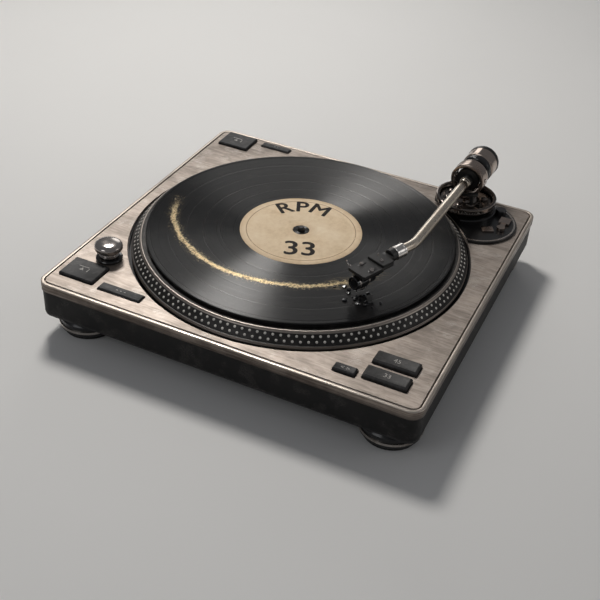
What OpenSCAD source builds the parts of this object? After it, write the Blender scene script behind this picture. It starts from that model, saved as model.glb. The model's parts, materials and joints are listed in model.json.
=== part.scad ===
// Turntable record player: a direct drive deck with an S-arm, built as separate pieces.
// Millimetres, +Z up. The origin is under the middle of the whole object, where the feet stand.
// Rest position: a record on the platter, the arm lowered with the stylus over the grooves.

/* [Plinth] */
// Width of the plinth
plinth_w = 376; // [372:1:400]
// Depth of the plinth
plinth_d = 358; // [356:1:380]
// Corner radius of the metal rim
corner_r = 12; // [10:1:16]
// Height of the feet
foot_h = 22; // [20:1:30]
// Height of the black shell between bottom cover and rim
shell_h = 25; // [25:1:32]
// Height of the metal rim
rim_h = 9; // [8:0.5:10]

/* [Platter and record] */
// Outer radius of the platter
platter_r = 165; // [160:1:165]
// Radius of the platter's flat top
platter_top_r = 155; // [152:0.5:155]
// Height of the platter's top above the deck
platter_top = 12; // [11.5:0.5:12.5]
// Radius of a 12 inch record
record_r = 150.8; // [148:0.1:150.8]
// Radius of the record's paper label
label_r = 60; // [48:1:60]
// Spindle position across the deck, from the plinth's middle
spindle_x = -4; // [-5:0.5:-4]
// Spindle position along the deck, from the plinth's middle
spindle_y = 0; // [-1:0.5:1]

/* [Tonearm] */
// Pivot position across the deck, from the plinth's middle
pivot_x = 119; // [119:0.5:120]
// Pivot position along the deck, from the plinth's middle
pivot_y = 143; // [143:0.5:144]
// Height of the arm's axis above the deck
arm_axis_h = 40; // [40:0.5:44]
// Length of the straight part of the tube, from the pivot
tube_straight = 140; // [136:1:142]
// Outer radius of the tube
tube_r = 4.7; // [4:0.1:5]
// Angle of the bend near the headshell
tube_bend = 20; // [18:1:24]
// Radius of the bend's centreline
tube_bend_r = 42; // [36:1:50]
// Angle of the tube towards the spindle while the record plays
arm_yaw = 2.5; // [0:0.5:4]
// Radius of the counterweight
weight_r = 16.5; // [14:0.5:16.5]

/* [Hidden] */
$fn = 96;

gap = 0.3;                                   // free space between pieces that move past each other
fit = 0.04;                                  // radial clearance of a running fit
deck = foot_h + 2 + shell_h + rim_h;         // top face of the deck plate
cover_t = 2;                                 // bottom cover thickness
plate_t = 2.3;                               // deck plate thickness
lip_t = 3.4;                                 // width of the rim's visible lip
groove = 1.2;                                // dark line between lip and deck plate
shell_step = 1;                              // the shell stands back from the rim
ledge_w = 6.2;                               // ledge inside the rim, under the deck plate
wall = 4;                                    // shell wall
well_r = platter_r + 3.5;                    // hole in the deck plate around the platter
mat_t = 2;
record_t = 2;
record_top = platter_top + mat_t + record_t; // above the deck
spindle_r = 3.6;
tube_bore = tube_r - 0.8;
foot_inset = 33;                             // foot centre from the plinth's sides
foot_r = 29;
stylus_reach = 45;                           // from the locking nut's front to the stylus
nut_len = 12;
tube_tail = 8;                               // straight tube after the bend
weight_back = 45;                            // rear face of the counterweight, from the pivot

// the counterweight overhangs the rear edge, so the plinth sits forward of the origin
tail_y = pivot_y + weight_back * cos(arm_yaw) + weight_r * sin(arm_yaw);
frame_y = -(tail_y - plinth_d / 2) / 2;

spindle = [spindle_x, spindle_y];
pivot = [pivot_x, pivot_y];
base_disc = [138, 127];                      // middle of the round plate under the arm
base_disc_r = 41;
lift_post = pivot + 20.4 * [sin(30), -cos(30)];
clip_at = [153, 115];
cue_at = [165, 122];
skate_at = [156, 153];
pedestal_r = 33;
knob_at = [-151, -114];

// every push button: middle x, y, width, depth, height above the deck, and its stem's offset
start_size = [-158.5, -144, 37, 29, 3, 0, 11];
start_bar_size = [-110.5, -155.5, 45, 11, 1.8, 0, 0];
rear_size = [-158, 156.5, 36, 29, 3, 0, 0];
rear_bar_size = [-113.5, 166, 35, 9, 1.8, 0, 0];
speed_33_size = [147.5, -150.5, 40, 16, 4, -10, 0];
speed_45_size = [148, -128.5, 40, 16, 4, 0, 0];
small_size = [112, -156.5, 20.5, 10, 3, 0, 0];
BUTTONS = [start_size, start_bar_size, rear_size, rear_bar_size, speed_33_size, speed_45_size, small_size];
button_travel = 1.6;
stem_end = 11;                               // stem's lower end below the deck
switch_top = stem_end + button_travel + gap; // switch's upper face below the deck

// ---------- helpers ----------

module placed() { translate([0, frame_y, 0]) children(); }
module at_spindle(z = deck) { placed() translate([spindle_x, spindle_y, z]) children(); }
module at_pivot(z = deck) { placed() translate([pivot_x, pivot_y, z]) children(); }

// the tonearm's own frame: origin on the pivot axis at tube height, the tube runs along -Y
module arm_frame() { at_pivot(deck + arm_axis_h) rotate([0, 0, -arm_yaw]) children(); }
module along_arm(y) { translate([0, y, 0]) rotate([-90, 0, 0]) children(); }

// the headshell's frame: origin at the end of the tube, the headshell runs along -Y
module head_frame() {
    arm_frame() translate([-tube_bend_r, -tube_straight, 0]) rotate([0, 0, -tube_bend])
        translate([tube_bend_r, -tube_tail, 0]) children();
}

module rounded_rect(w, d, r) {
    square([w - 2 * r, d], center = true);
    square([w, d - 2 * r], center = true);
    for (x = [-1, 1], y = [-1, 1]) translate([x * (w / 2 - r), y * (d / 2 - r)]) circle(r);
}

module slab(w, d, r, h) { linear_extrude(h) rounded_rect(w, d, r); }

module ring(r_out, r_in, h) {
    difference() {
        cylinder(r = r_out, h = h);
        translate([0, 0, -1]) cylinder(r = r_in, h = h + 2);
    }
}

// everything on the deck that would reach into the platter's round well is cut back to its edge
module clear_of_platter(extra = 1) {
    difference() {
        children();
        at_spindle(deck - 30) cylinder(r = well_r + extra, h = 80, $fn = 180);
    }
}

module at_feet() {
    placed() for (x = [-1, 1], y = [-1, 1])
        translate([x * (plinth_w / 2 - foot_inset), y * (plinth_d / 2 - foot_inset), 0]) children();
}

module at_cover_screws() {
    placed() for (x = [-1, 1]) {
        translate([x * (plinth_w / 2 - 12), 0, 0]) children();
        for (y = [-1, 1]) translate([x * 70, y * (plinth_d / 2 - 12), 0]) children();
    }
}

// ---------- feet ----------

module foot_pads() {
    color("#1a1a1a") at_feet() cylinder(r = 25, h = 3);
}

module foot_housings() {
    color("#222222") at_feet() difference() {
        rotate_extrude() polygon([
            [0, 3], [26, 3], [foot_r - 1, 5], [foot_r - 1, 15], [foot_r - 4, 18],
            [16, 18], [15, 19], [15, foot_h], [0, foot_h]
        ]);
        translate([0, 0, 8]) cylinder(r = 3, h = foot_h);
    }
}

module foot_rings() {
    color("#b0a8a0") at_feet() translate([0, 0, 8]) ring(foot_r, foot_r - 1, 2.4);
}

module foot_studs() {
    color("#8c8c8c") at_feet() translate([0, 0, 8]) cylinder(r = 3, h = foot_h + 6);
}

// ---------- casing ----------

module bottom_cover() {
    color("#202022") difference() {
        placed() translate([0, 0, foot_h])
            slab(plinth_w - 2 * shell_step - 1, plinth_d - 2 * shell_step - 1, corner_r - 1.5, cover_t);
        at_feet() translate([0, 0, foot_h - 1]) cylinder(r = 3.4, h = cover_t + 2);
        at_cover_screws() translate([0, 0, foot_h - 1]) cylinder(r = 1.8, h = cover_t + 2);
        placed() for (i = [-5:5]) translate([-90 + i * 7, 20, foot_h - 1]) cube([3, 60, cover_t + 2]);
    }
}

module cover_screws() {
    color("#9a9a9a") at_cover_screws() {
        translate([0, 0, foot_h + cover_t - 3.5]) cylinder(r = 3, h = 1.5);
        translate([0, 0, foot_h + cover_t - 2]) cylinder(r = 1.5, h = 9);
    }
}

// an open black box: a wall all round, with bosses for the feet and the cover's screws
module base_shell() {
    w = plinth_w - 2 * shell_step;
    d = plinth_d - 2 * shell_step;
    z = foot_h + cover_t;
    color("#1c1c1e") difference() {
        union() {
            placed() translate([0, 0, z]) difference() {
                slab(w, d, corner_r - shell_step, shell_h);
                translate([0, 0, -1]) slab(w - 2 * wall, d - 2 * wall, corner_r - wall, shell_h + 2);
            }
            at_feet() translate([0, 0, z]) cylinder(r = 8, h = 14);
            placed() for (x = [-1, 1], y = [-1, 1])
                translate([x * (plinth_w / 2 - foot_inset / 2 - 2), y * (plinth_d / 2 - foot_inset), z + 7])
                    cube([foot_inset - 6, 4, 14], center = true);
            at_cover_screws() translate([0, 0, z]) cylinder(r = 5, h = 16);
            placed() for (x = [-1, 1]) translate([x * (plinth_w / 2 - 8), 0, z + 8]) cube([8, 5, 16], center = true);
            placed() for (x = [-1, 1], y = [-1, 1])
                translate([x * 70, y * (plinth_d / 2 - 8), z + 8]) cube([5, 8, 16], center = true);
        }
        at_feet() translate([0, 0, z - 1]) cylinder(r = 3.05, h = 20);
        at_cover_screws() translate([0, 0, z - 1]) cylinder(r = 1.55, h = 11);
        placed() translate([0, plinth_d / 2, z + shell_h / 2]) cube([tray_w - 4, 30, tray_h - 4], center = true);
    }
}

// the metal band round the deck, with a ledge that carries the deck plate
module chassis_rim() {
    z = deck - rim_h;
    color("#8d8379") placed() difference() {
        translate([0, 0, z]) slab(plinth_w, plinth_d, corner_r, rim_h);
        translate([0, 0, z - 1]) slab(plinth_w - 2 * ledge_w, plinth_d - 2 * ledge_w, corner_r - 5, rim_h + 2);
        translate([0, 0, deck - plate_t])
            slab(plinth_w - 2 * lip_t, plinth_d - 2 * lip_t, corner_r - lip_t, plate_t + 1);
    }
}

module top_plate() {
    edge = lip_t + groove;
    color("#c2b5a9") difference() {
        placed() translate([0, 0, deck - plate_t])
            slab(plinth_w - 2 * edge, plinth_d - 2 * edge, corner_r - edge, plate_t);
        at_spindle(deck - 10) cylinder(r = well_r, h = 20, $fn = 180);
        placed() for (b = BUTTONS) translate([b[0], b[1], deck - 10])
            slab(b[2] + 0.8, b[3] + 0.8, 1.6, 20);
        placed() translate([knob_at[0], knob_at[1], deck - 10]) cylinder(r = 7, h = 20);
        at_pivot(deck - 10) cylinder(r = 15, h = 20);
    }
}

// the shallow black pan under the platter, hung below the deck plate
module platter_well() {
    color("#161616") at_spindle(deck) rotate_extrude($fn = 180) polygon([
        [12, -8.5], [12, -6.5], [well_r - 1, -6.5], [well_r - 1, -plate_t], [well_r + 1, -plate_t],
        [well_r + 1, -8.5]
    ]);
}

// ---------- sockets at the rear ----------

tray_w = 124;
tray_h = 21;
tray_depth = 15;
tray_z = foot_h + cover_t + shell_h / 2;
tray_y = plinth_d / 2 - shell_step;          // outer face of the shell's rear wall

// a pocket behind an opening in the rear wall, so that plugs don't stand out behind
module socket_tray() {
    color("#2a2a2c") placed() difference() {
        translate([0, tray_y - wall - tray_depth / 2, tray_z]) cube([tray_w, tray_depth, tray_h], center = true);
        translate([0, tray_y - wall - tray_depth / 2 + 2, tray_z])
            cube([tray_w - 4, tray_depth, tray_h - 4], center = true);
        translate([45, tray_y - wall - tray_depth, tray_z]) cube([inlet_w, 10, inlet_h], center = true);
    }
}

socket_face = tray_y - wall - tray_depth + 2; // the pocket's back wall
signal_x = [-48, -30];
inlet_w = 22;
inlet_h = 12;

module signal_sockets() {
    color("#c8b070") placed() for (x = signal_x) translate([x, socket_face, tray_z]) rotate([-90, 0, 0])
        difference() {
            union() {
                cylinder(r = 6, h = 2);
                cylinder(r = 4.15, h = 10);
            }
            translate([0, 0, 3]) cylinder(r = 1.7, h = 8);
        }
}

module ground_post() {
    color("#b8b8b8") placed() translate([-12, socket_face, tray_z]) rotate([-90, 0, 0]) {
        cylinder(r = 3.5, h = 1.5);
        cylinder(r = 2, h = 4);
        translate([0, 0, 4]) cylinder(r = 4, h = 5, $fn = 24);
    }
}

// the mains inlet: a shrouded socket with two pins, no lead
module power_inlet() {
    color("#101010") placed() translate([45, socket_face, tray_z]) difference() {
        union() {
            translate([0, -4, 0]) cube([inlet_w - 0.4, 20, inlet_h - 0.4], center = true);
            translate([0, 0.75, 0]) cube([inlet_w + 6, 1.5, inlet_h + 4], center = true);
        }
        difference() {
            cube([inlet_w - 4, 16.6, inlet_h - 4], center = true);
            for (x = [-4.3, 4.3]) translate([x, -9, 0]) rotate([-90, 0, 0]) cylinder(r = 1.2, h = 9);
        }
    }
}

// ---------- electronics ----------

board_at = [-80, -40];
module main_board() {
    color("#2f5a3a") difference() {
        placed() translate([board_at[0], board_at[1], foot_h + cover_t + 5]) cube([120, 90, 1.6], center = true);
        placed() for (x = [-1, 1], y = [-1, 1])
            translate([board_at[0] + x * 54, board_at[1] + y * 39, foot_h]) cylinder(r = 1.6, h = 20);
    }
}

// standoffs, capacitors, driver chips on a heat sink, and the plug housings
module board_parts() {
    z = foot_h + cover_t;
    color("#3a3a40") placed() translate([board_at[0], board_at[1], 0]) {
        for (x = [-1, 1], y = [-1, 1]) translate([x * 54, y * 39, z]) {
            cylinder(r = 3.5, h = 4.2);
            cylinder(r = 1.5, h = 7);
        }
        for (i = [0:3]) translate([-44 + i * 15, 28, z + 5.8]) cylinder(r = 5, h = 12);
        for (i = [0:2]) translate([-40 + i * 22, -8, z + 5.8]) cube([14, 9, 3]);
        translate([30, -30, z + 5.8]) cube([8, 40, 12]);
        for (i = [0:4]) translate([38, -29 + i * 9, z + 5.8]) cube([7, 2, 12]);
        translate([-46, -38, z + 5.8]) cube([40, 7, 8]);
    }
}

module transformer() {
    z = foot_h + cover_t;
    color("#6b4a3a") placed() translate([110, 60, 0]) {
        translate([0, 0, z + 11]) cube([46, 40, 22], center = true);
        translate([0, 0, z + 11]) cube([30, 52, 16], center = true);
        translate([0, 0, z + 1]) cube([66, 26, 2], center = true);
    }
}

// a small circuit board on two posts below each button
module button_boards() {
    top = deck - switch_top - 4;
    color("#2f5a3a") placed() for (b = BUTTONS) translate([b[0] + b[5], b[1] + b[6], 0]) {
        translate([0, 0, top - 0.8]) cube([16, 12, 1.6], center = true);
        for (x = [-5.5, 5.5]) translate([x, 0, foot_h + cover_t])
            cylinder(r = 1.8, h = top - 1.6 - foot_h - cover_t);
    }
}

module button_switches() {
    color("#17171a") placed() for (b = BUTTONS) translate([b[0] + b[5], b[1] + b[6], deck - switch_top - 4]) {
        translate([-3.5, -3.5, 0]) cube([7, 7, 3.2]);
        cylinder(r = 1.6, h = 4);
    }
}

// ---------- motor and platter ----------

module motor_stator() {
    color("#5f5f66") at_spindle(deck - 6.5) difference() {
        union() {
            ring(20, 9.05, 8);
            for (i = [0:11]) rotate([0, 0, i * 30]) {
                translate([18, -2, 2]) cube([17, 4, 4]);
                intersection() {
                    translate([32, -7.5, 0.8]) cube([8, 15, 6.4]);
                    ring(38, 34, 8);
                }
            }
        }
        for (i = [0:2]) rotate([0, 0, 15 + i * 120]) translate([15, 0, -1]) cylinder(r = 1.5, h = 12);
    }
}

module stator_coils() {
    color("#a5622d") at_spindle(deck - 6.5) for (i = [0:11]) rotate([0, 0, i * 30])
        translate([27, 0, 4]) difference() {
            cube([9, 8, 7.4], center = true);
            cube([12, 4.1, 4.1], center = true);
        }
}

module bearing_housing() {
    color("#85858a") at_spindle(deck) difference() {
        union() {
            translate([0, 0, -31]) cylinder(r = 9, h = 32);
            translate([0, 0, -10.5]) cylinder(r = 28, h = 2);
            translate([0, 0, -8.5]) cylinder(r = 11.9, h = 2);
        }
        translate([0, 0, -28]) cylinder(r = 6, h = 30);
    }
}

module bearing_bush() {
    color("#b58d4a") at_spindle(deck - 22) ring(6, spindle_r + fit, 22);
}

module thrust_pad() {
    color("#d8d4c8") at_spindle(deck - 28) cylinder(r = 5.9, h = 2);
}

module rotor_magnet() {
    color("#3c3c40") at_spindle(deck) translate([0, 0, -1.5]) ring(52, 39, 9.5);
}

// the cast platter: a flat top, a sloped flank for the strobe dots and a deep skirt
module platter() {
    t = platter_top;
    color("#3a3836") at_spindle(deck) rotate_extrude($fn = 180) polygon([
        [spindle_r, 2.5], [14, 2.5], [20, t - 4], [platter_r - 12, t - 4], [platter_r - 7, t - 9],
        [platter_r - 7, -2.5], [platter_r - 0.6, -2.5], [platter_r, -1.9], [platter_r, 0.9],
        [platter_r - 1.2, 2.2], [platter_top_r + 1.4, t - 1.2], [platter_top_r, t], [spindle_r, t]
    ]);
}

module slipmat() {
    color("#141414") at_spindle(deck + platter_top) ring(148, spindle_r + 0.1, mat_t);
}

module record() {
    color("#0f0f10") at_spindle(deck + platter_top + mat_t) difference() {
        rotate_extrude($fn = 180) polygon([
            [spindle_r + 0.05, 0], [record_r - 0.8, 0], [record_r, 0.8], [record_r, 1.4],
            [record_r - 0.6, record_t], [spindle_r + 0.05, record_t]
        ]);
        translate([0, 0, record_t - 0.25]) ring(label_r + 0.2, 8, 1);
    }
}

module record_label() {
    color("#dec4a0") at_spindle(deck + record_top - 0.25) ring(label_r, 8.2, 0.3);
}

module spindle() {
    color("#a8a8aa") at_spindle(deck) {
        translate([0, 0, -26]) cylinder(r = spindle_r, h = record_top + 26 + 1);
        translate([0, 0, record_top + 1]) intersection() {
            sphere(r = spindle_r);
            cylinder(r = spindle_r, h = 2.6);
        }
    }
}

// ---------- buttons and knob ----------

// a key cap with bevelled edges, a flange that keeps it under the plate, and a stem
module push_button(b) {
    bevel = 0.9;
    flange = 4.2;                            // the flange's lower face below the deck
    placed() translate([b[0], b[1], deck]) {
        translate([0, 0, -flange]) slab(b[2], b[3], 1.2, flange + b[4] - bevel);
        hull() {
            translate([0, 0, b[4] - bevel - 0.1]) linear_extrude(0.1) square([b[2] - 0.4, b[3] - 0.4], center = true);
            translate([0, 0, b[4] - 0.1]) linear_extrude(0.1)
                square([b[2] - 2 * bevel, b[3] - 2 * bevel], center = true);
        }
        translate([0, 0, -flange]) slab(b[2] + 2.4, b[3] + 2.4, 1.6, flange - plate_t - gap);
        translate([b[5], b[6], -stem_end]) cylinder(r = 2.2, h = stem_end - flange + 0.5);
    }
}

module start_button() { color("#2b2b2d") push_button(start_size); }
module start_bar() { color("#2b2b2d") push_button(start_bar_size); }
module rear_button() { color("#2b2b2d") push_button(rear_size); }
module rear_bar() { color("#2b2b2d") push_button(rear_bar_size); }
module speed_button_33() { color("#333335") push_button(speed_33_size); }
module speed_button_45() { color("#333335") push_button(speed_45_size); }
module small_button() { color("#333335") push_button(small_size); }

module knob_base() {
    color("#151515") placed() translate([knob_at[0], knob_at[1], deck]) difference() {
        union() {
            cylinder(r = 12.5, h = 2.5);
            translate([0, 0, 2.5]) cylinder(r1 = 12.5, r2 = 11, h = 1.5);
            translate([0, 0, -14]) cylinder(r = 6.8, h = 15);
        }
        translate([0, 0, -10]) cylinder(r = 3 + fit, h = 20);
    }
}

// a chrome mushroom on a waisted neck, turned to switch the deck on
module power_knob() {
    color("#c9c5c0") placed() translate([knob_at[0], knob_at[1], deck]) {
        translate([0, 0, -9]) cylinder(r = 3, h = 15);
        rotate_extrude() polygon(concat(
            [[0, 4.3], [10.5, 4.3], [10.5, 5.2]],
            [for (a = [0:15:75]) [10 - 2.6 * sin(a) , 5.4 + 3.2 * a / 75]],
            [[8.6, 10], [12.6, 12.2], [13.4, 13.2], [13.4, 15]],
            [for (a = [15:15:90]) [13.4 * cos(a), 15 + 4.2 * sin(a)]]
        ));
    }
}

// ---------- tonearm base ----------

module arm_plate() {
    color("#1b1b1d") difference() {
        clear_of_platter(0.8) placed() translate([base_disc[0], base_disc[1], deck])
            cylinder(r = base_disc_r, h = 2.4, $fn = 120);
        at_pivot(deck - 1) cylinder(r = 15, h = 6);
        placed() for (pin = [skate_at, cue_at])
            translate([pin[0], pin[1], deck + 1]) cylinder(r = 2.5 + fit, h = 6);
        placed() translate([base_disc[0], base_disc[1], deck + 1.6]) ring(39.6, 38, 3);
    }
}

module arm_plate_ring() {
    color("#b9b0a6") difference() {
        clear_of_platter(0.8) placed() translate([base_disc[0], base_disc[1], deck + 1.6]) ring(39.6, 38, 1.2);
        at_pivot(deck) cylinder(r = pedestal_r + 0.2, h = 6);
    }
}

// the fixed casting that guides the arm's column: two steps, cut back to clear the platter
module arm_pedestal() {
    color("#1e1e20") difference() {
        clear_of_platter(1.2) union() {
            at_pivot(deck + 2.4) cylinder(r = pedestal_r, h = 4.6);
            at_pivot(deck + 7) cylinder(r1 = pedestal_r, r2 = pedestal_r - 1, h = 0.8);
            at_pivot(deck - 16) cylinder(r = 14.9, h = 25.6);
            at_pivot(deck + 7) cylinder(r = 23, h = 2.6);
            at_pivot(deck + 9) cylinder(r = 14 - 0.06, h = 2.6);
        }
        at_pivot(deck - 20) cylinder(r = 11 + fit, h = 60);
        placed() translate([skate_at[0], skate_at[1], deck]) cylinder(r = 6, h = 12);
    }
}

// the flat foot that an arm clip would stand on, with its two screws
module clip_base() {
    color("#8a7f76") placed() translate([clip_at[0], clip_at[1], deck + 2.4]) rotate([0, 0, 27]) {
        translate([-6, -4.5, 0]) cube([12, 9, 1.6]);
        for (x = [-3.6, 3.6]) translate([x, 0, 1.6]) cylinder(r = 1.6, h = 0.7);
    }
}

// a flat lever that swings outwards over the plate and raises the lift bar
module cue_lever() {
    color("#93877c") placed() translate([cue_at[0], cue_at[1], deck]) {
        translate([0, 0, 1.2]) cylinder(r = 2.5, h = 3);
        translate([0, 0, 3.1]) cylinder(r = 4.2, h = 3);
        translate([-2.5, 0, 3.1]) cube([5, 12, 1.6]);
        translate([-5.5, 10, 3.1]) cube([11, 12, 2]);
    }
}

// the curved bar that rises under the tube, on a post that slides in the column
module lift_bar() {
    z_top = arm_axis_h - tube_r - 2.6;
    color("#2a2a2c") {
        placed() translate([lift_post[0], lift_post[1], deck + 12.5]) cylinder(r = 2, h = z_top - 13);
        at_pivot(deck + z_top - 2.4) rotate([0, 0, -90 - 22]) rotate_extrude(angle = 68, $fn = 120)
            translate([18.6, 0]) square([3.6, 2.4]);
    }
}

module anti_skate_knob() {
    color("#202022") placed() translate([skate_at[0], skate_at[1], deck]) {
        translate([0, 0, 1.2]) cylinder(r = 2.5, h = 3);
        translate([0, 0, 2.4 + gap]) cylinder(r = 5.5, h = 4.5);
        translate([0, 0, 6.9 + gap]) cylinder(r1 = 5.5, r2 = 4.8, h = 0.8);
    }
}

// the drum that is turned to set the arm's height: an open cup that flares out over its foot
module height_ring() {
    color("#2b2a2a") at_pivot(deck) rotate_extrude($fn = 120) polygon([
        [14, 10], [27.4, 10], [28, 10.6], [28, 11.4], [30.9, 12.8], [31.5, 13.6], [31.5, 18.9], [31.1, 20],
        [29.7, 20.3], [28.2, 19.6], [27.4, 18.6], [27.4, 12.8], [26.6, 11.8], [14, 11.8]
    ]);
}

// the column that rises in the pedestal and carries the gimbal
module arm_carriage() {
    color("#303033") at_pivot(deck) difference() {
        union() {
            translate([0, 0, -14]) cylinder(r = 11, h = 30);
            translate([0, 0, 12.2]) cylinder(r = 26.4, h = 3.4);
            translate([0, 0, 15.6]) cylinder(r1 = 12, r2 = 9, h = 3);
            translate([lift_post[0] - pivot_x, lift_post[1] - pivot_y, 15]) cylinder(r = 4, h = 6);
        }
        translate([0, 0, -10]) cylinder(r = 3 + fit, h = 40);
        translate([lift_post[0] - pivot_x, lift_post[1] - pivot_y, 10]) cylinder(r = 2 + fit, h = 20);
    }
}

// ---------- tonearm ----------

gimbal_r = 17.5;
gimbal_bore = 14.3;

// the metal yoke: a ring round the tube's axis, on the vertical pivot
module gimbal_ring() {
    color("#a09488") arm_frame() difference() {
        union() {
            along_arm(-7.5) cylinder(r = gimbal_r, h = 15);
            translate([0, 0, -arm_axis_h + 19]) cylinder(r = 7, h = arm_axis_h - 19 - gimbal_bore - 1);
            translate([0, 0, -arm_axis_h - 6]) cylinder(r = 3, h = 26);
        }
        along_arm(-8) cylinder(r = gimbal_bore, h = 16);
        translate([-20, 0, 0]) rotate([0, 90, 0]) cylinder(r = 2, h = 40);
    }
}

// two pointed screws through the ring, which the hub swings on
module pivot_screws() {
    color("#c4beb6") arm_frame() for (s = [-1, 1]) rotate([0, s * 90, 0]) {
        translate([0, 0, 10.4]) cylinder(r = 1.2, h = 3.2);
        translate([0, 0, 12.4]) cylinder(r = 2, h = 5.6);
    }
}

module arm_hub() {
    color("#19191b") arm_frame() difference() {
        union() {
            along_arm(-6) cylinder(r = 12, h = 12);
            along_arm(-9.5) cylinder(r = 6.2, h = 4);
        }
        translate([-20, 0, 0]) rotate([0, 90, 0]) cylinder(r = 1.2 + fit, h = 40);
        along_arm(-11) cylinder(r = tube_r, h = 8);
        along_arm(1) cylinder(r = 3.5, h = 8);
    }
}

// the tube: straight from the hub, one bend, then straight into the locking nut
// the bend is a hair slimmer than the straight runs and starts inside them, so the three fuse cleanly
module arm_tube() {
    step = 0.06;
    lap = 1.5;
    color("#cfc6ba") {
        arm_frame() along_arm(-tube_straight - lap) ring(tube_r, tube_bore, tube_straight - 4 + lap);
        arm_frame() translate([-tube_bend_r, -tube_straight, 0]) rotate([0, 0, -tube_bend])
            rotate_extrude(angle = tube_bend) translate([tube_bend_r, 0]) difference() {
                circle(tube_r - step);
                circle(tube_bore - step);
            }
        head_frame() along_arm(-nut_len + 3) ring(tube_r, tube_bore, nut_len - 3 + tube_tail + lap);
    }
}

module rear_shaft() {
    color("#bdb8b2") arm_frame() {
        along_arm(1) cylinder(r = 3.5, h = weight_back - 1);
        along_arm(6) cylinder(r = 5.5, h = 3);
        along_arm(9) cylinder(r1 = 5.5, r2 = 4, h = 2.5);
    }
}

// the black ring with the force scale, in front of the counterweight
module weight_dial() {
    color("#151516") arm_frame() difference() {
        union() {
            along_arm(16) cylinder(r1 = 14, r2 = 15.5, h = 1.5);
            along_arm(17.5) cylinder(r = 15.5, h = 5);
        }
        along_arm(10) cylinder(r = 3.5 + fit, h = 30);
    }
}

module counterweight() {
    color("#9c9187") arm_frame() difference() {
        union() {
            along_arm(22.8) cylinder(r1 = weight_r - 1, r2 = weight_r, h = 1);
            along_arm(23.8) cylinder(r = weight_r, h = 20.2);
            along_arm(weight_back - 1) cylinder(r1 = weight_r, r2 = weight_r - 1, h = 1);
        }
        along_arm(20) cylinder(r = 3.5 + fit, h = 40);
        along_arm(weight_back - 9) cylinder(r = 11.5, h = 12);
    }
}

// ---------- headshell ----------

module locking_nut() {
    color("#c9c4bd") head_frame() along_arm(-nut_len) difference() {
        union() {
            cylinder(r = 6.6, h = 2);
            translate([0, 0, 2]) cylinder(r = 6.2, h = 8);
            translate([0, 0, 10]) cylinder(r = 6.6, h = 2);
        }
        translate([0, 0, -1]) cylinder(r = tube_r + fit, h = 20);
    }
}

head_w = 21;

// a thin bent rod at the shell's front corner, for lifting the arm by hand
module finger_lift() {
    translate([-head_w / 2 + 1, -nut_len - 43, -1.5]) {
        rotate([0, -90, 0]) cylinder(r = 0.9, h = 8);
        translate([-8, 0, 0]) sphere(r = 0.9, $fn = 32);
        translate([-8, 0, 0]) rotate([20, -50, 0]) cylinder(r = 0.9, h = 7);
    }
}

module headshell() {
    color("#3c3c3e") head_frame() difference() {
        union() {
            along_arm(-nut_len - 6) cylinder(r = tube_bore - 0.05, h = 15.8);
            along_arm(-nut_len - 6) cylinder(r = tube_r, h = 8.8);
            along_arm(-nut_len - 5) cylinder(r = 6, h = 5 - gap);
            finger_lift();
            translate([-5.5, -nut_len - 14, -3]) cube([11, 11, 5]);
            translate([-head_w / 2, -nut_len - 48, -3]) cube([head_w, 38, 3]);
            translate([-head_w / 2, -nut_len - 24, -1]) cube([head_w, 14, 3.4]);
        }
        for (x = [-6.35, 6.35]) translate([x, -nut_len - 35, -4]) cylinder(r = 1.3, h = 8);
        for (x = [-6.35, 6.35]) translate([x - 1.3, -nut_len - 38, -4]) cube([2.6, 6, 8]);
    }
}

// the pickup: a bridge under the shell with two screws, and a barrel that points forwards
module cartridge() {
    color("#121213") head_frame() translate([0, -nut_len - 35, 0]) {
        translate([-8, -10, -7.3]) cube([16, 25, 4.3]);
        translate([-6, -9, -11]) cube([12, 22, 4.5]);
        translate([0, 0, -11.2]) along_arm(-15.5) cylinder(r = 6.4, h = 24);
        translate([-3.5, -8, -18.2]) cube([7, 9, 4]);
        for (x = [-6.35, 6.35]) translate([x, 0, -4]) {
            cylinder(r = 1.2, h = 5);
            translate([0, 0, 4]) cylinder(r = 2.2, h = 1.6);
        }
    }
}

module stylus() {
    tip = -(arm_axis_h - record_top) + gap;
    color("#d9d3c4") head_frame() translate([0, -nut_len - stylus_reach, 0]) {
        translate([-2.8, 2.5, -20.4]) cube([5.6, 6.5, 2.2]);
        translate([0, 4, -19.5]) rotate([98, 0, 0]) cylinder(r = 0.5, h = 5);
        translate([0, 0, tip]) cylinder(r1 = 0.15, r2 = 0.6, h = -19.8 - tip);
    }
}

// ---------- what is drawn ----------

foot_pads();
foot_housings();
foot_rings();
foot_studs();
bottom_cover();
cover_screws();
base_shell();
chassis_rim();
top_plate();
platter_well();
socket_tray();
signal_sockets();
ground_post();
power_inlet();
main_board();
board_parts();
transformer();
button_boards();
button_switches();
motor_stator();
stator_coils();
bearing_housing();
bearing_bush();
thrust_pad();
rotor_magnet();
platter();
slipmat();
record();
record_label();
spindle();
start_button();
start_bar();
rear_button();
rear_bar();
speed_button_33();
speed_button_45();
small_button();
knob_base();
power_knob();
arm_plate();
arm_plate_ring();
arm_pedestal();
clip_base();
cue_lever();
lift_bar();
anti_skate_knob();
height_ring();
arm_carriage();
gimbal_ring();
pivot_screws();
arm_hub();
arm_tube();
rear_shaft();
weight_dial();
counterweight();
locking_nut();
headshell();
cartridge();
stylus();
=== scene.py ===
import bpy
import bmesh
import json
import math
import random
from mathutils import Matrix, Vector


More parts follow.
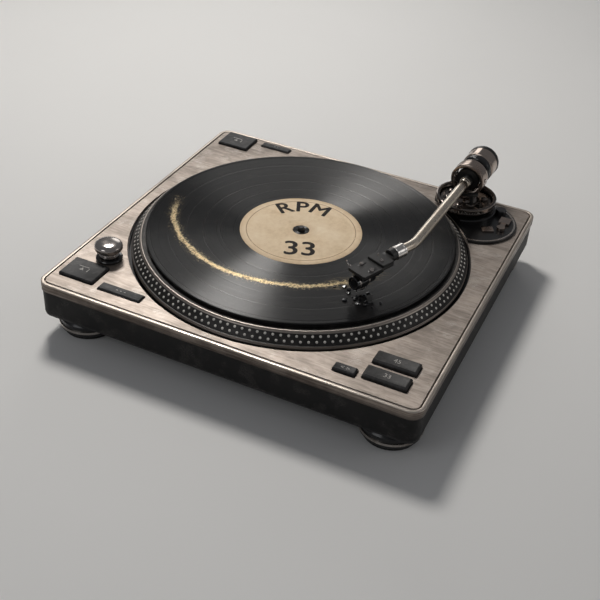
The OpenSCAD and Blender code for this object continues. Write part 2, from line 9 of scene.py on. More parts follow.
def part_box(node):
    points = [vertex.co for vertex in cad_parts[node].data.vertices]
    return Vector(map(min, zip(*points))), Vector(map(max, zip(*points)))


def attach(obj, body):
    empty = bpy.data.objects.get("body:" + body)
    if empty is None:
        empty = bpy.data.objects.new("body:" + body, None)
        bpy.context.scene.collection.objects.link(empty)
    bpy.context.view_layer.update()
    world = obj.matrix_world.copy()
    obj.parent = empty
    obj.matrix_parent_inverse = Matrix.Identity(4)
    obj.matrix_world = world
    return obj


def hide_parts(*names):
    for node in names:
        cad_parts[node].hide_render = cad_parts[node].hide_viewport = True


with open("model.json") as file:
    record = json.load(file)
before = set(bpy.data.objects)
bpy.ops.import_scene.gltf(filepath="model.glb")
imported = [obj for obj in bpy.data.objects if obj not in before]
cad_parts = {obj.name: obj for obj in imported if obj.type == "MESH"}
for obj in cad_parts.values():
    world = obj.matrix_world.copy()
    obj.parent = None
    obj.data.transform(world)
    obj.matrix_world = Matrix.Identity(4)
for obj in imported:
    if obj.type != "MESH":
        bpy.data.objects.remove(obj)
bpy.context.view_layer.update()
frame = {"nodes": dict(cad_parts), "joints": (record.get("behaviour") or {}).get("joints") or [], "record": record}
mm = 0.001
joints = {joint["name"]: joint for joint in frame["joints"]}
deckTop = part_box("top_plate")[1].z
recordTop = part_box("record")[1].z
spindleAt = Vector(joints["platter_spin"]["pos_m"])
pivotAt = Vector(joints["arm_lift"]["pos_m"])
print("frame loaded,", len(frame["nodes"]), "nodes")

# the camera, the lamps and the world

view = {"target": (-14.4, -107.1), "turn": 27.43, "height": 36.03, "roll": -1.2, "distance": 924.6,
        "lens": 60.4, "swing": -3.29, "dip": -0.376}


def aimed(back, roll=0):
    back = Vector(back).normalized()
    side = Vector((0, 0, 1)).cross(back).normalized()
    return Matrix((side, back.cross(side), back)).transposed().to_4x4() @ Matrix.Rotation(-roll, 4, "Z")


def makeCamera():
    turn, height = math.radians(view["turn"]), math.radians(view["height"])
    back = Vector((math.sin(turn) * math.cos(height), -math.cos(turn) * math.cos(height), math.sin(height)))
    target = Vector((view["target"][0] * mm, view["target"][1] * mm, deckTop))
    data = bpy.data.cameras.new("camera")
    data.lens, data.sensor_width = view["lens"], 36
    data.clip_start = 0.05
    camera = bpy.data.objects.new("camera", data)
    bpy.context.scene.collection.objects.link(camera)
    swing, dip = math.radians(view["swing"]), math.radians(view["dip"])
    framing = Matrix.Rotation(swing, 4, "Y") @ Matrix.Rotation(dip, 4, "X")
    camera.matrix_world = Matrix.Translation(target + back * view["distance"] * mm) @ aimed(
        back, math.radians(view["roll"])) @ framing
    bpy.context.scene.camera = camera


lamps = {       # place, size, power and colour
    "keyLight": ((-0.66, 0.62, 1.4), 0.4, 15, (1, 0.97, 0.93)),
    "fillLight": ((-0.6, -1.5, 1.3), 0.9, 2.6, (0.97, 0.98, 1)),
    "backLight": ((-0.9, 1.9, 0.8), 0.9, 3.5, (1, 0.98, 0.95)),
    "sideLight": ((1.9, 0.5, 0.9), 0.9, 2.2, (1, 0.98, 0.96))}
ambient = {"colour": (0.93, 0.95, 1, 1), "strength": 0.15}


def softLight(name, place, size, power, colour):
    data = bpy.data.lights.new(name, "AREA")
    data.shape, data.size, data.energy, data.color = "DISK", size, power, colour
    lamp = bpy.data.objects.new(name, data)
    bpy.context.scene.collection.objects.link(lamp)
    place = Vector(place)
    lamp.matrix_world = Matrix.Translation(place) @ aimed(place - Vector((0, 0, deckTop)))


makeCamera()
for name, lamp in lamps.items():
    softLight(name, *lamp)
bpy.context.scene.view_settings.view_transform = "Standard"
world = bpy.data.worlds.new("studio")
world.use_nodes = True
world.node_tree.nodes["Background"].inputs["Color"].default_value = ambient["colour"]
world.node_tree.nodes["Background"].inputs["Strength"].default_value = ambient["strength"]
bpy.context.scene.world = world
print("camera and lights ready")


# shader maths written as expressions

class Wire:
    def __init__(self, finish, socket):
        self.finish, self.socket = finish, socket

    def __add__(self, other):
        return self.finish.maths("ADD", self, other)

    def __sub__(self, other):
        return self.finish.maths("SUBTRACT", self, other)

    def __rsub__(self, other):
        return self.finish.maths("SUBTRACT", other, self)

    def __mul__(self, other):
        return self.finish.maths("MULTIPLY", self, other)

    __radd__, __rmul__ = __add__, __mul__

    def over(self, low, high):     # 0 at low, 1 at high, smooth between
        return self.finish.node("ShaderNodeMapRange", {"interpolation_type": "SMOOTHSTEP"},
                                {"Value": self, "From Min": low, "From Max": high})

    def near(self, middle, width):  # 1 on the middle, 0 a width away
        return 1 - self.finish.maths("ABSOLUTE", self - middle).over(width * 0.5, width)


class Finish:
    def __init__(self, name, **shader):
        self.material = bpy.data.materials.new(name)
        self.material.use_nodes = True
        self.nodes, self.links = self.material.node_tree.nodes, self.material.node_tree.links
        self.shader = self.nodes["Principled BSDF"]
        self.seed = len(bpy.data.materials) * 3.7
        self.give(self.shader, {key.replace("_", " "): value for key, value in shader.items()})
        self.spot = self.node("ShaderNodeTexCoord", out="Object")

    def give(self, node, sockets):
        for key, value in sockets.items():
            socket = node.inputs[key]
            if isinstance(value, Wire):
                self.links.new(value.socket, socket)
            else:
                socket.default_value = (*value, 1) if isinstance(value, tuple) and socket.type == "RGBA" else value

    def node(self, kind, settings=None, sockets=None, out=0):
        made = self.nodes.new(kind)
        for key, value in (settings or {}).items():
            if key == "stops":
                ramp = made.color_ramp
                while len(ramp.elements) < len(value):
                    ramp.elements.new(1)
                for element, (place, colour) in zip(ramp.elements, value):
                    element.position, element.color = place, (*colour, 1)
            else:
                setattr(made, key, value)
        self.give(made, sockets or {})
        return Wire(self, made.outputs[out])

    def maths(self, operation, *values):
        return self.node("ShaderNodeMath", {"operation": operation}, dict(enumerate(values)))

    def blend(self, factor, first, second):
        return self.node("ShaderNodeMix", {"data_type": "RGBA"}, {0: factor, 6: first, 7: second}, 2)

    def ramp(self, factor, *stops):
        return self.node("ShaderNodeValToRGB", {"stops": stops}, {0: factor})

    def moved(self, centre=(0, 0, 0), stretch=(1, 1, 1), turn=0):
        return self.node("ShaderNodeMapping", {"vector_type": "TEXTURE"}, {
            "Location": tuple(centre), "Rotation": (0, 0, turn), "Scale": stretch, "Vector": self.spot})

    def noise(self, size, detail=3, rough=0.55, at=None, twist=0):
        self.seed += 1.3
        return self.node("ShaderNodeTexNoise", {"noise_dimensions": "4D"}, {
            "Vector": at or self.spot, "W": self.seed, "Scale": 1 / (size * mm), "Detail": detail,
            "Roughness": rough, "Distortion": twist})

    def parts(self, at=None):
        split = self.nodes.new("ShaderNodeSeparateXYZ")
        self.give(split, {0: at or self.spot})
        return [Wire(self, output) for output in split.outputs]

    def radiusFrom(self, centre):       # distance from an upright axis, in mm
        x, y, z = self.parts(self.moved(centre))
        return self.maths("SQRT", x * x + y * y) * 1000

    def bump(self, height, depth, strength=1):
        return self.node("ShaderNodeBump", None, {"Height": height, "Distance": depth * mm, "Strength": strength})

    def scratches(self, size, turn, thin=0.06):
        lines = self.noise(size, 2, 0.5, self.moved(stretch=(60, 1, 1), turn=turn), 0.2)
        return lines.near(0.5, thin)

    def wear(self, colour=None, rough=None, metal=None, normal=None, coat=None):
        wanted = {"Base Color": colour, "Roughness": rough, "Metallic": metal, "Normal": normal,
                  "Coat Weight": coat}
        self.give(self.shader, {key: value for key, value in wanted.items() if value is not None})
        return self


def plainFinish(name, colour, rough, metal=0, grain=0.8, depth=0.02, **shader):
    finish = Finish(name, **shader)
    fine, cloud = finish.noise(grain, 3), finish.noise(18, 4)
    darker = tuple(part * 0.72 for part in colour)
    return finish.wear(finish.blend(cloud.over(0.3, 0.7), darker, colour), rough + (cloud - 0.5) * 0.18, metal,
                       finish.bump(fine, depth))


def wornMetal(name, colour, tarnish, rough, scratch=0.5, stretch=(1, 1, 1), coarse=14, **shader):
    finish = Finish(name, **shader)
    cloud = finish.noise(coarse, 4, 0.6, finish.moved(stretch=stretch), 0.3)
    fine = finish.noise(1.6, 3, 0.55, finish.moved(stretch=stretch))
    lines = finish.scratches(0.5, 0.5) * finish.noise(9, 2).over(0.52, 0.68)
    dirt = (cloud * 0.8 + fine * 0.2).over(0.44, 0.7)
    base = finish.blend(dirt * 0.8, colour, tarnish)
    base = finish.blend(lines * scratch, base, tuple(min(1, part * 1.4 + 0.05) for part in colour))
    return finish.wear(base, rough + dirt * 0.16 + (fine - 0.5) * 0.06, 1.0 - dirt * 0.15,
                       finish.bump(fine * 0.6 + lines * 0.4, 0.006, 0.6))


# the finishes, one for each material slot and a few that only the looks use

# the dull colour serves both the plate's own dull patches and the painted shade towards its rear left
deckLook = {"light": (0.47, 0.405, 0.355), "dull": (0.17, 0.145, 0.125), "rust": (0.09, 0.055, 0.035)}


def deckFinish():
    finish = Finish("brushedDeck")
    clouds = finish.noise(85, 5, 0.6, twist=0.5)
    streaks = finish.noise(2.4, 5, 0.7, finish.moved(stretch=(14, 1, 1), turn=-0.03))
    blotches = finish.noise(13, 5, 0.7, finish.moved(stretch=(2.2, 1, 1)), 0.6)
    specks = finish.noise(2.6, 4, 0.72, finish.moved(stretch=(1.8, 1, 1))).over(0.64, 0.7)
    specks = specks * finish.noise(30, 3).over(0.44, 0.6)
    stains = finish.noise(9, 5, 0.7, twist=0.8).over(0.6, 0.74) * finish.noise(60, 2).over(0.46, 0.62)
    x, y, z = finish.parts()
    paintedShade = (y - x * 0.45).over(0.02, 0.28)          # painted shade: the plate's colour darkens towards its rear left, where less light falls on it
    # dull mixes the plate's own cloudy tone with the painted shade towards the rear left
    dull = (clouds * 0.4 + streaks * 0.3 + blotches * 0.36).over(0.43, 0.62) * 0.72 + paintedShade * 0.28
    base = finish.blend(dull, deckLook["light"], deckLook["dull"])
    base = finish.blend(stains * 0.6, base, (0.15, 0.105, 0.075))
    base = finish.blend(specks * 0.85, base, deckLook["rust"])
    lines = finish.scratches(0.35, 0.9) * finish.noise(16, 2).over(0.52, 0.66)
    base = finish.blend(lines * 0.35, base, (0.8, 0.75, 0.7))
    return finish.wear(base, 0.4 + streaks * 0.16 + stains * 0.2 + specks * 0.2, 0.82 - specks * 0.6 - stains * 0.3,
                       finish.bump(streaks * 0.6 + blotches * 0.25 - specks * 0.5, 0.05, 0.7))


def rimFinish():
    finish = Finish("bandMetal")
    x, y, z = finish.parts()
    runs = finish.noise(1.5, 4, 0.65, finish.moved(stretch=(60, 60, 1)))
    cloud = finish.noise(26, 4, 0.6)
    edge = z.over(deckTop - 1.3 * mm, deckTop - 0.35 * mm)
    foot = 1 - z.over(deckTop - 9 * mm, deckTop - 7.6 * mm)
    dull = (runs * 0.6 + cloud * 0.4).over(0.42, 0.62)
    base = finish.blend(dull, (0.27, 0.228, 0.197), (0.11, 0.088, 0.074))
    base = finish.blend(edge * (0.95 - runs * 0.5), base, (0.72, 0.64, 0.56))
    base = finish.blend(foot * 0.55, base, (0.07, 0.06, 0.055))
    return finish.wear(base, 0.36 + dull * 0.2 - edge * 0.08, 0.9, finish.bump(runs, 0.05))


def shellFinish():
    finish = Finish("blackShell", Specular_IOR_Level=0.22)
    x, y, z = finish.parts()
    cloud, grain = finish.noise(30, 5, 0.65), finish.noise(1.1, 3)
    lines = finish.scratches(0.5, 0.2) * finish.noise(14, 2).over(0.5, 0.66)
    low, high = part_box("base_shell")[0].z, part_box("base_shell")[1].z
    edge = (1 - z.over(low, low + 1.6 * mm)) * finish.noise(7, 4, 0.7).over(0.45, 0.62)
    base = finish.blend(cloud.over(0.35, 0.7), (0.006, 0.0058, 0.006), (0.014, 0.0132, 0.013))
    base = finish.blend(lines * 0.35 + edge * 0.5, base, (0.11, 0.1, 0.095))
    return finish.wear(base, 0.42 + cloud * 0.2, 0.0, finish.bump(grain * 0.6 + cloud * 0.4, 0.04))


def vinylFinish():      # the anisotropy turns the lamps into wedges of light across the grooves
    finish = Finish("pressedVinyl", IOR=1.5, Specular_IOR_Level=0.5, Anisotropic=0.99, Anisotropic_Rotation=0.25)
    radius = finish.radiusFrom((spindleAt.x, spindleAt.y, 0))
    grooveArea = radius.over(65, 66.2) * (1 - radius.over(145.6, 146.6))
    gaps = radius.near(79, 0.9) + radius.near(95.5, 0.9) + radius.near(112, 1) + radius.near(129, 1)
    cut = grooveArea * (1 - gaps * 0.85)
    wave = finish.maths("SINE", radius * (math.tau / 1.15)) * 0.5 + 0.5
    ringTone = finish.node("ShaderNodeTexNoise", {"noise_dimensions": "1D"}, {
        "W": radius, "Scale": 0.55, "Detail": 5, "Roughness": 0.7})
    fineTone = finish.node("ShaderNodeTexNoise", {"noise_dimensions": "1D"}, {
        "W": radius, "Scale": 2.3, "Detail": 2, "Roughness": 0.6})
    dust = finish.noise(5, 5, 0.75).over(0.58, 0.78) * finish.noise(45, 3).over(0.42, 0.65)
    hairs = finish.scratches(0.4, 1.1, 0.03) * finish.noise(12, 2).over(0.54, 0.66)
    hairs = hairs + finish.scratches(0.4, -0.35, 0.03) * finish.noise(17, 2).over(0.54, 0.66)
    base = finish.blend(ringTone.over(0.35, 0.75), (0.003, 0.0028, 0.0027), (0.0065, 0.006, 0.0057))
    base = finish.blend(dust * 0.14 + hairs * 0.16, base, (0.13, 0.115, 0.1))
    # painted sheen: the blank bands between tracks are painted a shade lighter than the grooves round them
    base = finish.blend(gaps * 0.12 * grooveArea, base, (0.07, 0.065, 0.06))
    core, glitter, spray = scratchMask(finish)
    bright = finish.blend(glitter, (0.17, 0.1, 0.042), (1.0, 0.8, 0.47))
    gold = finish.maths("MINIMUM", core * 0.95 + spray, 1.0)
    base = finish.blend(gold, base, bright)
    height = (wave * 0.4 + ringTone * 0.5) * cut
    rough = 0.12 + ringTone * 0.24 + fineTone * 0.2 + dust * 0.2 - gaps * 0.05
    return finish.wear(base, rough + gold * 0.15, gold * 0.55,
                       finish.bump(height + gold * glitter * 1.2, 0.08, 0.6))


scratchLook = {"centre": (-15, 26.5), "radius": 124.6, "width": 3.4}


def scratchMask(finish):    # a worn golden arc that drifts inwards across the grooves
    x, y, z = finish.parts(finish.moved((spindleAt.x + scratchLook["centre"][0] * mm,
                                         spindleAt.y + scratchLook["centre"][1] * mm, 0)))
    away = finish.maths("SQRT", x * x + y * y) * 1000 - scratchLook["radius"]
    turn = finish.maths("ARCTAN2", y, x)
    ragged = (finish.noise(14, 3, 0.6) - 0.5) * 7 + (finish.noise(2.6, 4, 0.8) - 0.5) * 7
    offset = finish.maths("ABSOLUTE", away + ragged)
    ends = turn.over(-2.86, -2.6) * (1 - turn.over(-0.9, -0.66))
    tail = turn.over(-0.95, -0.82) * (1 - turn.over(-0.6, -0.38))
    gaps = finish.noise(3.2, 4, 0.8).over(0.34, 0.5)
    core = (1 - offset.over(scratchLook["width"] * 0.3, scratchLook["width"])) * ends * (0.4 + gaps * 0.6)
    glitter = finish.noise(1.9, 4, 0.8).over(0.36, 0.54)
    near = 1 - offset.over(1, 11)
    spray = near * near * finish.noise(1.5, 3, 0.75).over(0.55, 0.62)
    spray = spray * turn.over(-2.95, -2.8) * (1 - turn.over(-0.8, -0.5))
    streaks = finish.noise(1.1, 3, 0.7, finish.moved(stretch=(14, 1, 1), turn=0.32)).over(0.53, 0.62)
    return core, glitter, spray * 0.75 + streaks * tail * (1 - offset.over(2, 12)) * 0.6


def labelFinish():
    finish = Finish("labelPaper")
    radius = finish.radiusFrom((spindleAt.x, spindleAt.y, 0))
    cloud, spots = finish.noise(22, 5, 0.65, twist=0.5), finish.noise(5, 5, 0.72)
    fibre = finish.noise(0.7, 3)
    base = finish.ramp(cloud * 0.6 + spots * 0.4, (0.33, (0.62, 0.45, 0.27)), (0.5, (0.77, 0.6, 0.4)),
                       (0.66, (0.85, 0.7, 0.5)))
    ring = radius.near(53.6, 0.62) * spots.over(0.3, 0.5)
    rub = radius.over(54, 60.5) * 0.35 + (1 - radius.over(8.5, 17)) * 0.3 * cloud.over(0.35, 0.6)
    marks = finish.noise(2.4, 5, 0.75).over(0.66, 0.74) * finish.noise(30, 2).over(0.48, 0.6)
    base = finish.blend(rub, base, (0.5, 0.33, 0.18))
    base = finish.blend(ring * 0.75 + marks * 0.6, base, (0.26, 0.13, 0.06))
    return finish.wear(base, 0.62 + spots * 0.2, 0.0, finish.bump(fibre * 0.4 + cloud * 0.6, 0.06))


def inkFinish():
    finish = Finish("printedInk", Specular_IOR_Level=0.15)
    worn = finish.noise(1.6, 5, 0.75).over(0.58, 0.72)
    base = finish.blend(worn * 0.45, (0.01, 0.0065, 0.0055), (0.26, 0.17, 0.1))
    return finish.wear(base, 0.6 + worn * 0.2, 0.0, finish.bump(worn, 0.02))


def platterFinish():
    finish = Finish("castPlatter")
    radius = finish.radiusFrom((spindleAt.x, spindleAt.y, 0))
    ringTone = finish.node("ShaderNodeTexNoise", {"noise_dimensions": "1D"}, {
        "W": radius, "Scale": 1.7, "Detail": 4, "Roughness": 0.7})
    wear, specks = finish.noise(10, 5, 0.7), finish.noise(1.4, 3, 0.7).over(0.62, 0.7)
    edge = radius.near(155.9, 1.3) + radius.near(164.95, 0.4) * 0.8
    base = finish.blend(wear.over(0.4, 0.7), (0.021, 0.0195, 0.0185), (0.05, 0.046, 0.043))
    base = finish.blend(specks * 0.35, base, (0.14, 0.12, 0.11))
    base = finish.blend(edge * (1 - wear.over(0.5, 0.75) * 0.5), base, (0.42, 0.37, 0.33))
    return finish.wear(base, 0.36 + ringTone * 0.16 - edge * 0.06, 0.55 + edge * 0.4,
                       finish.bump(ringTone * 0.5 + specks * 0.3, 0.05, 0.8))


def keyFinish(name, colour):
    finish = Finish(name, Specular_IOR_Level=0.4)
    cloud, grain, scuff = finish.noise(12, 4, 0.65), finish.noise(0.6, 3), finish.noise(1.6, 5, 0.75)
    lines = finish.scratches(0.4, 0.6) * finish.noise(6, 2).over(0.48, 0.62)
    lighter = tuple(part * 1.9 + 0.005 for part in colour)
    base = finish.blend(cloud.over(0.35, 0.7), colour, lighter)
    base = finish.blend(scuff.over(0.64, 0.78) * 0.5 + lines * 0.4, base, (0.12, 0.11, 0.105))
    return finish.wear(base, 0.42 + cloud * 0.2, 0.0, finish.bump(grain * 0.5 + scuff * 0.5, 0.05))


finishes = {
    "deck_metal": deckFinish(),
    "rim_metal": rimFinish(),
    "shell_black": shellFinish(),
    "vinyl": vinylFinish(),
    "label_paper": labelFinish(),
    "platter_metal": platterFinish(),
    "key_plastic": keyFinish("keyPlastic", (0.0085, 0.0085, 0.009)),
    "speedKey": keyFinish("speedKeyPlastic", (0.021, 0.02, 0.0195)),
    "ink": inkFinish(),
    "chrome": wornMetal("chromeKnob", (0.5, 0.46, 0.43), (0.33, 0.28, 0.25), 0.15, 0.1, coarse=20),
    "tube_metal": wornMetal("nickelTube", (0.78, 0.71, 0.61), (0.5, 0.41, 0.32), 0.2, 0.4, (1, 5, 1), 16),
    "worn_metal": wornMetal("wornYoke", (0.44, 0.36, 0.31), (0.24, 0.18, 0.15), 0.15, 0.4, coarse=18),
    "worn_chrome": wornMetal("wornWeight", (0.48, 0.4, 0.345), (0.26, 0.2, 0.165), 0.15, 0.4, coarse=18),
    "gunmetal": wornMetal("gunmetal", (0.19, 0.165, 0.15), (0.125, 0.105, 0.094), 0.1, 0.25, coarse=20),
    "bright_metal": wornMetal("brightRing", (0.62, 0.57, 0.52), (0.24, 0.2, 0.17), 0.22, 0.5),
    "steel": wornMetal("plainSteel", (0.55, 0.54, 0.53), (0.26, 0.24, 0.22), 0.24, 0.4),
    "black_metal": plainFinish("blackMetal", (0.028, 0.027, 0.028), 0.38, 0.4),
    "arm_black": plainFinish("armBlack", (0.016, 0.0155, 0.0155), 0.3, 0.2, Coat_Weight=0.3),
    "head_grey": plainFinish("shellGrey", (0.036, 0.035, 0.034), 0.36, 0.3, 0.9, 0.03),
    "gloss_black": plainFinish("glossBlack", (0.009, 0.009, 0.0095), 0.16, 0, Coat_Weight=0.5),
    "black_plastic": plainFinish("footPlastic", (0.014, 0.0135, 0.014), 0.3, 0, Coat_Weight=0.3),
    "rubber": plainFinish("rubber", (0.017, 0.017, 0.017), 0.78, 0, 0.5, 0.05),
    "mat_rubber": plainFinish("matRubber", (0.011, 0.011, 0.011), 0.82, 0, 0.5, 0.06),
    "brass": wornMetal("socketBrass", (0.66, 0.5, 0.24), (0.3, 0.2, 0.1), 0.26, 0.4),
    "copper": wornMetal("coilCopper", (0.62, 0.3, 0.14), (0.3, 0.12, 0.06), 0.3, 0.3, (1, 1, 6), 4),
    "cast_metal": wornMetal("castMetal", (0.4, 0.4, 0.41), (0.22, 0.21, 0.2), 0.42, 0.2),
    "ferrite": plainFinish("ferrite", (0.05, 0.05, 0.055), 0.5, 0.3),
    "transformer_core": plainFinish("laminatedCore", (0.13, 0.1, 0.08), 0.5, 0.5, 0.6, 0.06),
    "circuit_board": plainFinish("circuitBoard", (0.025, 0.1, 0.045), 0.35, 0, 1.5, 0.03, Coat_Weight=0.4),
    "component_black": plainFinish("componentBlack", (0.022, 0.022, 0.024), 0.4),
    "white_plastic": plainFinish("whitePlastic", (0.6, 0.58, 0.54), 0.45),
    "silverNut": wornMetal("silverNut", (0.8, 0.77, 0.73), (0.5, 0.45, 0.4), 0.2, 0.3, coarse=12),
    "dotPaint": plainFinish("dotPaint", (0.82, 0.79, 0.73), 0.4, 0, 1.2)}
for subpart in frame["record"]["subparts"]:
    node = frame["nodes"][subpart["node"]]
    node.data.materials.clear()
    node.data.materials.append(finishes[subpart["material_slot"]].material)
# painted shade: the spindle takes the black metal finish, standing in for the shade in the label's hole
frame["nodes"]["spindle"].data.materials[0] = finishes["black_metal"].material
print("finishes ready,", len(finishes))


def makeFloor():
    floor = bpy.data.meshes.new("floor")
    bm = bmesh.new()
    bmesh.ops.create_grid(bm, x_segments=1, y_segments=1, size=6)
    bm.to_mesh(floor)
    bm.free()
    finish = Finish("paleFloor")
    cloud = finish.noise(300, 3)
    finish.wear(finish.blend(cloud, (0.76, 0.755, 0.74), (0.8, 0.795, 0.78)), 0.7)
    floor.materials.append(finish.material)
    piece = bpy.data.objects.new("floor", floor)
    bpy.context.scene.collection.objects.link(piece)


makeFloor()


# mesh tools, with sizes in mm

def addPart(whole, part, place=None):
    part.transform(place or Matrix())
    carrier = bpy.data.meshes.new("carrier")
    part.to_mesh(carrier)
    part.free()
    whole.from_mesh(carrier)
    bpy.data.meshes.remove(carrier)


def finishPiece(name, bm, finish, body, replaces=(), sharp=30, weld=0.001):
    bmesh.ops.remove_doubles(bm, verts=bm.verts, dist=weld * mm)
    bmesh.ops.recalc_face_normals(bm, faces=bm.faces)
    mesh = bpy.data.meshes.new(name)
    bm.to_mesh(mesh)
    bm.free()
    mesh.shade_smooth()
    mesh.set_sharp_from_angle(angle=math.radians(sharp))
    mesh.materials.append(finishes[finish].material)
    piece = bpy.data.objects.new(name, mesh)
    bpy.context.scene.collection.objects.link(piece)
    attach(piece, body)
    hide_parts(*replaces)


def turned(profile, steps=96, arc=360):      # a lathe shape round Z from [radius, height] in mm
    bm = bmesh.new()
    points = [bm.verts.new((radius * mm, 0, height * mm)) for radius, height in profile]
    edges = [bm.edges.new(pair) for pair in zip(points, points[1:])]
    bmesh.ops.spin(bm, geom=points + edges, cent=(0, 0, 0), axis=(0, 0, 1), angle=math.radians(arc),
                   steps=steps, use_merge=arc == 360, use_duplicate=False)
    bmesh.ops.remove_doubles(bm, verts=bm.verts, dist=0.0005 * mm)
    return bm


def outline(bm, width, depth, radius, height, corner=7):      # the edges of a rounded rectangle, in mm
    corners = bmesh.ops.create_grid(bm, x_segments=1, y_segments=1, size=0.5, matrix=Matrix.Translation(
        (0, 0, height * mm)) @ Matrix.Diagonal((width * mm, depth * mm, 1, 1)))["verts"]
    bmesh.ops.bevel(bm, geom=corners, offset=radius * mm, offset_type="OFFSET", affect="VERTICES",
                    segments=corner, profile=0.5, material=-1)
    edges = bm.edges[:]
    bmesh.ops.delete(bm, geom=bm.faces[:], context="FACES_ONLY")
    return edges


def reshape(verts, old, new):      # carries a rounded rectangle's points to another size and height
    for vert in verts:
        for axis in (0, 1):
            side = math.copysign(1, vert.co[axis])
            lean = (abs(vert.co[axis]) / mm - (old[axis] / 2 - old[2])) / old[2]
            vert.co[axis] = side * (new[axis] / 2 - new[2] + lean * new[2]) * mm
        vert.co.z = new[3] * mm


def stacked(sections, corner=7, ends=True):   # rounded rectangles (width, depth, radius, height), from below
    bm = bmesh.new()
    first = edges = outline(bm, *sections[0], corner)
    for old, new in zip(sections, sections[1:]):
        made = bmesh.ops.extrude_edge_only(bm, edges=edges)["geom"]
        edges = [item for item in made if isinstance(item, bmesh.types.BMEdge)]
        reshape([item for item in made if isinstance(item, bmesh.types.BMVert)], old, new)
    if ends:
        for loop in (first, edges):
            bmesh.ops.edgeloop_fill(bm, edges=loop)
    return bm


def block(size, centre, soft=0.3, segments=2):   # a box with eased edges, sizes in mm
    bm = bmesh.new()
    bmesh.ops.create_cube(bm, size=1, matrix=Matrix.Diagonal((*[part * mm for part in size], 1)))
    if soft:
        bmesh.ops.bevel(bm, geom=bm.edges[:], offset=soft * mm, affect="EDGES", segments=segments, profile=0.5,
                        material=-1)
    bmesh.ops.translate(bm, verts=bm.verts, vec=Vector(centre) * mm)
    return bm


def screwHead(radius=2.2, height=1.4, slot=0.5):
    bm = turned([(0, -0.4), (radius, -0.4), (radius, height * 0.6), (radius * 0.86, height), (0, height)], 24)
    addPart(bm, block((radius * 1.5, slot, 0.3), (0, 0, height + 0.02), 0))
    return bm


def movedTo(x, y, z):
    return Matrix.Translation(Vector((x, y, z)) * mm)


def facing(joint, origin=None):       # the frame of an axis: its own +Y runs along the joint
    back = Vector(joints[joint]["axis"]).normalized()
    side = back.cross(Vector((0, 0, 1)))
    origin = Vector(origin or joints[joint]["pos_m"])
    return Matrix.Translation(origin) @ Matrix((side, back, Vector((0, 0, 1)))).transposed().to_4x4()


onSpindle = Matrix.Translation((spindleAt.x, spindleAt.y, deckTop))
onPivot = Matrix.Translation((pivotAt.x, pivotAt.y, deckTop))
onArm = facing("weight_turn", pivotAt)
onHead = facing("headshell_lock")
alongY = Matrix.Rotation(-math.pi / 2, 4, "X")
print("mesh tools ready")


# the deck, its rim, the keys and the knob

keys = {"start_button": "start_key", "start_bar": "start_bar_key", "rear_button": "rear_key",
        "rear_bar": "rear_bar_key", "speed_button_33": "speed_key_33", "speed_button_45": "speed_key_45",
        "small_button": "small_key"}
flangeEdge = 1.2       # how far a key's hidden flange stands out round its cap


def keySpot(node):     # middle, cap width and depth, and top height over the deck, in mm
    low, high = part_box(node)
    middle, size = (low + high) / 2 / mm, (high - low) / mm
    return middle.x, middle.y, size.x - 2 * flangeEdge, size.y - 2 * flangeEdge, (high.z - deckTop) / mm


def makeDeckPlate():
    look = {"thick": 2.3, "ease": 0.35, "corner": 7.4, "wellGap": 3.5, "keyGap": 0.8, "keyCorner": 1.6,
            "knobHole": 7, "armHole": 15}
    low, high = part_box("top_plate")
    middle, size = (low + high) / 2 / mm, (high - low) / mm
    platterR = (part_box("platter")[1].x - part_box("platter")[0].x) / 2 / mm
    ease, levels = look["ease"], (0, -look["ease"], -look["thick"])
    bm = bmesh.new()

    def opening(x, y, width, depth, corner, side=1):      # eased upper edge; side -1 is the outer wall
        grow = (side * ease, 0, 0)
        wall = [(width + 2 * g, depth + 2 * g, corner + g, z) for g, z in zip(grow, levels)]
        addPart(bm, stacked(wall, 8, False), movedTo(x, y, 0))

    def roundOpening(x, y, radius, steps):
        wall = [(radius + ease, levels[0]), (radius, levels[1]), (radius, levels[2])]
        addPart(bm, turned(wall, steps), movedTo(x, y, 0))

    opening(middle.x, middle.y, size.x, size.y, look["corner"], -1)
    roundOpening(spindleAt.x / mm, spindleAt.y / mm, platterR + look["wellGap"], 220)
    knob = (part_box("knob_base")[0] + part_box("knob_base")[1]) / 2 / mm
    roundOpening(knob.x, knob.y, look["knobHole"], 32)
    roundOpening(pivotAt.x / mm, pivotAt.y / mm, look["armHole"], 48)
    for node in keys:
        x, y, width, depth, top = keySpot(node)
        opening(x, y, width + look["keyGap"], depth + look["keyGap"], look["keyCorner"])
    for height in (levels[0], levels[2]):
        loops = [edge for edge in bm.edges if edge.is_boundary and
                 all(abs(vert.co.z - height * mm) < 1e-6 for vert in edge.verts)]
        bmesh.ops.triangle_fill(bm, use_beauty=True, use_dissolve=False, edges=loops)
    bmesh.ops.translate(bm, verts=bm.verts, vec=(0, 0, deckTop))
    finishPiece("deckPlate", bm, "deck_metal", "plinth", ["top_plate"], 25)


def makeRimBand():
    look = {"corner": 12, "lip": 3.4, "ledge": 6.2, "high": 9, "plate": 2.3, "round": 0.9}
    low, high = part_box("chassis_rim")
    middle, size = (low + high) / 2 / mm, (high - low) / mm

    def at(inset, height):
        return size.x - 2 * inset, size.y - 2 * inset, max(look["corner"] - inset, 2), height

    soft = look["round"]
    sections = [at(0.3, -look["high"]), at(0, 0.3 - look["high"]), at(0, -soft), at(0.12, -soft * 0.55),
                at(0.42, -0.16), at(soft, 0), at(look["lip"] - 0.4, 0), at(look["lip"] - 0.1, -0.12),
                at(look["lip"], -0.4), at(look["lip"], -look["plate"]), at(look["ledge"], -look["plate"]),
                at(look["ledge"], -look["high"])]
    bm = stacked(sections + sections[:1], 12, False)
    bmesh.ops.translate(bm, verts=bm.verts, vec=(middle.x * mm, middle.y * mm, deckTop))
    finishPiece("rimBand", bm, "rim_metal", "plinth", ["chassis_rim"], 50)


